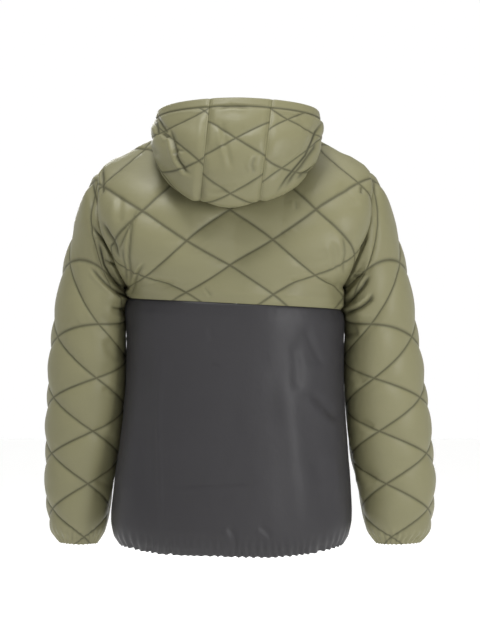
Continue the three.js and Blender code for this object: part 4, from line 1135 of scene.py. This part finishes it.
def quilting_lines(cloth, shift, slip, keep_rows):
    """The stitched lines that cross a grid, as columns and rows."""
    columns = np.arange(cloth.columns.min(), cloth.columns.max() + 1e-9, 0.1)
    lines = []
    for way in (1, -1):
        for number in range(-40, 41):
            rows = way * (2 * CELLS * number - (columns + shift)) + slip
            seen = (rows >= keep_rows[0]) & (rows <= keep_rows[1])
            if seen.sum() > 8:
                lines.append((columns[seen], rows[seen]))
    return lines


def thread_piece(name, batches):
    """Joins stitches into one mesh."""
    stitches = np.concatenate(batches)
    points = stitches.reshape(-1, 3)
    corners = ((0, 1, 2), (0, 2, 3), (0, 3, 4), (0, 4, 1), (5, 2, 1), (5, 3, 2), (5, 4, 3), (5, 1, 4))
    starts = 6 * np.arange(len(stitches))
    faces = (starts[:, None, None] + np.array(corners)[None]).reshape(-1, 3).tolist()
    piece = to_object(name + "_thread", points, faces)
    made[name + "_thread"] = piece
    print(name, "has", len(stitches), "stitches")
    return piece


for name, cloth in yokes.items():
    shift = -0.35 if name.startswith("back") else 0
    lines = quilting_lines(cloth, shift, 2 * SEAM_ROWS, (0.2, SEAM_ROWS + UPPER_ROWS - 0.3))
    thread_piece(name, [stitches_along(cloth, *line) for line in lines])
for name, cloth in sleeves.items():
    lines = quilting_lines(cloth, 0, SLEEVE_CROSSING, (0.8, cloth.rows[-1] - 0.3))
    thread_piece(name, [stitches_along(cloth, *line) for line in lines])

for name, cloth in hoods.items():
    panel = HOOD_PANELS[name]
    rim_row = HOOD_ROWS - RIM_HEM / (cloth.lengths(0)[-1].mean() / HOOD_ROWS)
    lines = quilting_lines(cloth, panel["shift"], HOOD_ROWS - 5 + panel["slip"], (1.0, rim_row))
    first, last = cloth.columns.min(), cloth.columns.max()
    hem = np.linspace(first + 0.15, last - 0.15, 60)
    lines.append((hem, np.full(60, rim_row)))
    lines.append((hem, np.full(60, rim_row + 0.25)))
    for column in (-HOOD_CENTRE - 0.2, -HOOD_CENTRE + 0.2, HOOD_CENTRE - 0.2, HOOD_CENTRE + 0.2):
        if first < column < last:
            lines.append((np.full(300, column), np.linspace(0.6, HOOD_ROWS - 0.2, 300)))
    thread_piece(name, [stitches_along(cloth, *line) for line in lines])

# %% [markdown]
# The front closes with a moulded zip. Each side's teeth are little blocks with a waist and a rounded head,
# and the heads of one side sit between those of the other. They stand where the solid chain stood.

# %% Zip teeth
TOOTH = {"pitch": 1.5, "behind": -2.1, "ahead": 1.2, "clear": 0.9}
HALF_TOOTH = ((-2.3, 0.5), (-0.6, 0.5), (0.1, 0.3), (0.7, 0.55), (1.3, 0.3))


def zip_line():
    """The front's middle line and the direction out of it, from the hem up to the hood's rim."""
    panels = (lowers["front_lower_left"], yokes["front_yoke_left"], hoods["hood_side_left"])
    edges = (0, 0, int(np.argmax(np.abs(hoods["hood_side_left"].columns))))
    points = np.concatenate([cloth.inside[:, k] for cloth, k in zip(panels, edges)]) * [0, 1, 1]
    out = unit(np.concatenate([cloth.normals[:, k] for cloth, k in zip(panels, edges)]) * [0, 1, 1])
    rising = np.concatenate([[True], np.diff(points[:, 2]) > 0.05])
    return points[rising], out[rising]


def make_teeth():
    points, out = zip_line()
    runs = lengths_along(points)
    low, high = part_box("zip_chain")
    first, last = np.interp([1000 * low[2], 1000 * high[2]], points[:, 2], runs)
    first, last = first + TOOTH["clear"], last - TOOTH["clear"]
    middles = np.linspace(first, last, int((last - first) / TOOTH["pitch"]))
    outline = np.array([(x, -wide) for x, wide in HALF_TOOTH] + [*HALF_TOOTH[::-1]])
    corners, faces = [], []
    for k, middle in enumerate(middles):
        side = 1 if k % 2 else -1
        centre, ahead = at_run(middle, runs, points), unit(at_run(middle, runs, out))
        up = unit(at_run(middle + 1, runs, points) - at_run(middle - 1, runs, points))
        flat = centre + outline[:, :1] * [side, 0, 0] + outline[:, 1:] * up
        start, n = len(corners) * len(outline), len(outline)
        corners += [flat + TOOTH["behind"] * ahead, flat + TOOTH["ahead"] * ahead]
        ring = list(range(n))[::side]
        faces.append([start + i for i in reversed(ring)])
        faces.append([start + n + i for i in ring])
        for i, j in zip(ring, ring[1:] + ring[:1]):
            faces.append([start + i, start + j, start + n + j, start + n + i])
    made["zip_chain"] = to_object("zip_teeth", np.concatenate(corners), faces, smooth_faces=False)
    print("zip teeth:", len(middles), "from z", points[:, 2].min().round(), "to", points[:, 2].max().round())


make_teeth()

# %% [markdown]
# Shader maths reads as sums here: this class wraps a socket, so that adding or multiplying two of them
# adds the Math nodes. Any other node comes from one method.

# %% Materials as expressions
class Link:
    """A socket of a shader's node, with sums."""

    def __init__(self, graph, socket):
        self.graph = graph
        self.socket = socket

    def maths(self, operation, a, b):
        return self.graph.maths(operation, a, b)

    def __add__(self, other):
        return self.maths("ADD", self, other)

    def __radd__(self, other):
        return self.maths("ADD", other, self)

    def __sub__(self, other):
        return self.maths("SUBTRACT", self, other)

    def __mul__(self, other):
        return self.maths("MULTIPLY", self, other)

    def __rmul__(self, other):
        return self.maths("MULTIPLY", other, self)


class Graph:
    """A tree of shader nodes. Its node method adds any node."""

    def __init__(self, tree, shader):
        self.tree = tree
        self.shader = tree.nodes[shader]

    def node(self, kind, settings=None, inputs=None, output=0):
        made_node = self.tree.nodes.new(kind)
        for setting, value in (settings or {}).items():
            if setting == "stops":
                ramp = made_node.color_ramp
                for k, (place, colour) in enumerate(value):
                    stop = ramp.elements[k] if k < 2 else ramp.elements.new(place)
                    stop.position = place
                    stop.color = (*colour, 1)
            else:
                setattr(made_node, setting, value)
        for socket, value in (inputs or {}).items():
            if isinstance(value, Link):
                self.tree.links.new(value.socket, made_node.inputs[socket])
            else:
                made_node.inputs[socket].default_value = value
        return Link(self, made_node.outputs[output])

    def maths(self, operation, *values):
        return self.node("ShaderNodeMath", {"operation": operation}, dict(enumerate(values)))

    def feed(self, socket, value):
        self.tree.links.new(value.socket, self.shader.inputs[socket])

    def place(self):
        return self.node("ShaderNodeTexCoord", output=3)

    def noise(self, place, scale, detail=2.0, rough=0.5):
        sizes = {"Vector": place, "Scale": scale, "Detail": detail, "Roughness": rough}
        return self.node("ShaderNodeTexNoise", {"noise_dimensions": "3D"}, sizes)

    def mix(self, factor, a, b):
        return self.node("ShaderNodeMix", {"data_type": "RGBA"}, {0: factor, 6: a, 7: b}, output=2)

    def bump(self, height, strength, distance, **over):
        sizes = {"Height": height, "Strength": strength, "Distance": distance, **over}
        return self.node("ShaderNodeBump", None, sizes)


class Finish(Graph):
    """A material with one Principled shader."""

    def __init__(self, name, **constants):
        self.material = bpy.data.materials.new(name)
        self.material.use_nodes = True
        super().__init__(self.material.node_tree, "Principled BSDF")
        for socket, value in constants.items():
            self.shader.inputs[socket.replace("_", " ")].default_value = value


def colour(red, green, blue):
    """A colour from its 0 to 255 values, as light."""
    def light(v):
        v /= 255
        return v / 12.92 if v <= 0.04045 else ((v + 0.055) / 1.055) ** 2.4

    return (light(red), light(green), light(blue), 1.0)


# %% [markdown]
# The quilted cloth is a fine nylon with a satin face. Close up it has a twill weave, a little slub and
# cloudy dye. Each stitched line, the hood's hem seam and each sharp crease get painted shade mixed into
# the colour.

# %% Satin cloth
WEAVE_SCALE = 1500.0


def satin(name, base, dark, line, roughness):
    cloth = Finish(name, Specular_IOR_Level=0.5, IOR=1.32)
    place = cloth.place()
    cloudy = cloth.noise(place, 9.0, 3.0)
    slub = cloth.noise(cloth.node("ShaderNodeMapping", None, {"Vector": place, "Scale": (60, 60, 900)}), 1.0)
    dyed = cloth.mix(cloudy * 0.5 + slub * 0.16, base, dark)
    # Painted shade: the mask darkens the colour towards the line colour along stitched lines, seams and sharp
    # creases.
    shaded_valley = cloth.node("ShaderNodeAttribute", {"attribute_name": "shaded_valley"}, output=2)
    cloth.feed("Base Color", cloth.mix(shaded_valley * 0.72, dyed, line))
    fold_shine = cloth.noise(place, 22.0, 2.0)
    cloth.feed("Roughness", roughness - 0.05 + 0.1 * fold_shine + 0.14 * shaded_valley)
    twill = cloth.node("ShaderNodeMapping", None, {"Vector": place, "Rotation": (0.5, 0.3, 0.8)})
    bands = {"Vector": twill, "Scale": WEAVE_SCALE / 6.283}
    warp = cloth.node("ShaderNodeTexWave", {"wave_type": "BANDS"}, bands, output=1)
    soft = cloth.noise(place, 130.0, 2.0)
    crumple = cloth.noise(place, 38.0, 3.0)
    weave = cloth.bump(warp * 0.25 + slub * 0.3, 0.25, 0.0002)
    cloth.feed("Normal", cloth.bump(soft * 0.3 + crumple, 0.22, 0.0022, Normal=weave))
    return cloth.material


# The last colour of each is the painted shade of its stitched lines, the hood's hem seam and sharp creases.
quilted_satin = satin("quilted_satin", colour(112, 109, 82), colour(100, 98, 72), colour(36, 35, 20), 0.47)
plain_satin = satin("plain_satin", colour(43, 42, 44), colour(38, 37, 39), colour(17, 16, 18), 0.5)

# %% [markdown]
# The inside is a dull dark cloth. The elastic is ribbed and almost black, the thread a little darker
# than the cloth that it holds.

# %% Lining, elastic and thread
def dull_cloth(name, base, dark, roughness, scale):
    cloth = Finish(name, Sheen_Weight=0.08, Specular_IOR_Level=0.25)
    place = cloth.place()
    grain = cloth.noise(place, scale, 3.0)
    cloth.feed("Base Color", cloth.mix(grain, base, dark))
    cloth.feed("Roughness", roughness - 0.06 + 0.12 * cloth.noise(place, scale / 8, 2.0))
    cloth.feed("Normal", cloth.bump(grain, 0.35, 0.0004))
    return cloth.material


lining = dull_cloth("lining", colour(52, 52, 50), colour(42, 42, 41), 0.75, 900.0)
elastic = dull_cloth("elastic", colour(28, 28, 29), colour(20, 20, 21), 0.8, 700.0)
zip_tape = dull_cloth("zip_tape", colour(38, 38, 39), colour(29, 29, 30), 0.8, 1100.0)
olive_thread = dull_cloth("olive_thread", colour(84, 81, 56), colour(68, 66, 44), 0.6, 1500.0)


def moulded(name, base, worn, roughness, metallic=0.0):
    part = Finish(name, Metallic=metallic, Specular_IOR_Level=0.5)
    place = part.place()
    wear = part.noise(place, 160.0, 4.0, 0.6)
    part.feed("Base Color", part.mix(wear, base, worn))
    part.feed("Roughness", roughness + 0.15 * part.noise(place, 420.0, 2.0) - 0.07)
    part.feed("Normal", part.bump(wear, 0.15, 0.0003))
    return part.material


zip_plastic = moulded("zip_plastic", colour(30, 30, 31), colour(42, 42, 43), 0.42)
zip_metal = moulded("zip_metal", colour(52, 52, 53), colour(74, 73, 72), 0.36, 0.85)

# %% [markdown]
# Each new piece rides on the body that its solid belongs to and hides that solid. The zip's slider,
# pull and box keep their solids, because their shapes are already right.

# %% Dressing the frame
for name, piece in made.items():
    node = name.replace("_thread", "")
    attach(piece, "jacket")
    if name.endswith("_thread"):
        piece.data.materials.append(olive_thread)
        continue
    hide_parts(node)
    if "binding" in name:
        piece.data.materials.append(elastic)
        continue
    if name == "zip_chain":
        piece.data.materials.append(zip_plastic)
        continue
    piece.data.materials.append(plain_satin if "lower" in name else quilted_satin)
    piece.data.materials.append(lining)
    "plain_cloth" if "lower" in name else "quilted_cloth"

for node, finish in (
    ("zip_tape_left", zip_tape),
    ("zip_tape_right", zip_tape),
    ("zip_box", zip_plastic),
    ("zip_slider", zip_metal),
    ("zip_pull", zip_metal),
):
    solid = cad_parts[node]
    solid.data.materials.clear()
    solid.data.materials.append(finish)
print("pieces:", len(made))

# %% [markdown]
# The stage is a plain pale floor well below the jacket. The room is white round the horizon, dim above
# that and bright overhead. Behind the jacket one light is high on the wearer's left and one is level with
# the chest on the right, as the photograph shows: the left shoulder and the right sleeve are the light
# ones. The front has one soft light of its own.

# %% Floor and lights
def add_floor():
    floor = Finish("pale_floor", Roughness=0.9, Emission_Color=(1, 1, 1, 1), Emission_Strength=0.17)
    shade = floor.noise(floor.place(), 3.0)
    floor.feed("Base Color", floor.mix(shade, colour(252, 252, 251), colour(250, 250, 249)))
    far, below = 9000, -1150
    points = [(-far, -far, below), (far, -far, below), (far, far, below), (-far, far, below)]
    piece = to_object("pale_floor", points, [(0, 1, 2, 3)], smooth_faces=False)
    piece.data.materials.append(floor.material)


def add_light(name, place, aim, size, watts):
    light = bpy.data.lights.new(name, "AREA")
    light.shape = "RECTANGLE"
    light.size, light.size_y = size
    light.energy = watts
    lamp = bpy.data.objects.new(name, light)
    lamp.location = place
    lamp.rotation_euler = (Vector(aim) - Vector(place)).to_track_quat("-Z", "Y").to_euler()
    bpy.context.collection.objects.link(lamp)


add_floor()
add_light("key_right", (-1.15, 1.5, -0.1), (-0.1, 0, -0.4), (0.4, 0.8), 20)
add_light("high_left", (0.35, 0.95, 2.0), (0, 0.1, -0.1), (0.9, 0.6), 49)
add_light("front", (0.5, -2.9, 0.6), (0, 0, -0.4), (1.2, 1.6), 50)

world = bpy.data.worlds.new("studio")
world.use_nodes = True
room = Graph(world.node_tree, "Background")
direction = room.node("ShaderNodeTexCoord", output=0)
rise = room.node("ShaderNodeSeparateXYZ", None, {"Vector": direction}, output=2)
stops = [(place, (grey,) * 3) for place, grey in ((0.19, 0.59), (0.28, 0.14), (0.7, 0.14), (0.86, 1.0))]
room.feed("Color", room.node("ShaderNodeValToRGB", {"stops": stops}, {"Fac": rise}))
room.shader.inputs["Strength"].default_value = 1.7
bpy.context.scene.world = world
bpy.context.scene.view_settings.view_transform = "Standard"

# %% [markdown]
# The photograph was taken level with the middle of the jacket, from behind. The camera stands three
# metres away, with the lens that gives each of the photograph's pixels its size at the jacket's middle.

# %% Camera
DISTANCE = 3200
MM_A_PIXEL = 1.78
PICTURE_TALL = 640
SENSOR = 36
camera = bpy.data.cameras.new("camera")
camera.sensor_fit = "VERTICAL"
camera.sensor_height = SENSOR
camera.lens = SENSOR * DISTANCE / (PICTURE_TALL * MM_A_PIXEL)
viewer = bpy.data.objects.new("camera", camera)
viewer.location = (-0.009, DISTANCE * MM, -0.342)
viewer.rotation_mode = "XYZ"
viewer.rotation_euler = (math.radians(90), 0, math.radians(180))
bpy.context.collection.objects.link(viewer)
bpy.context.scene.camera = viewer
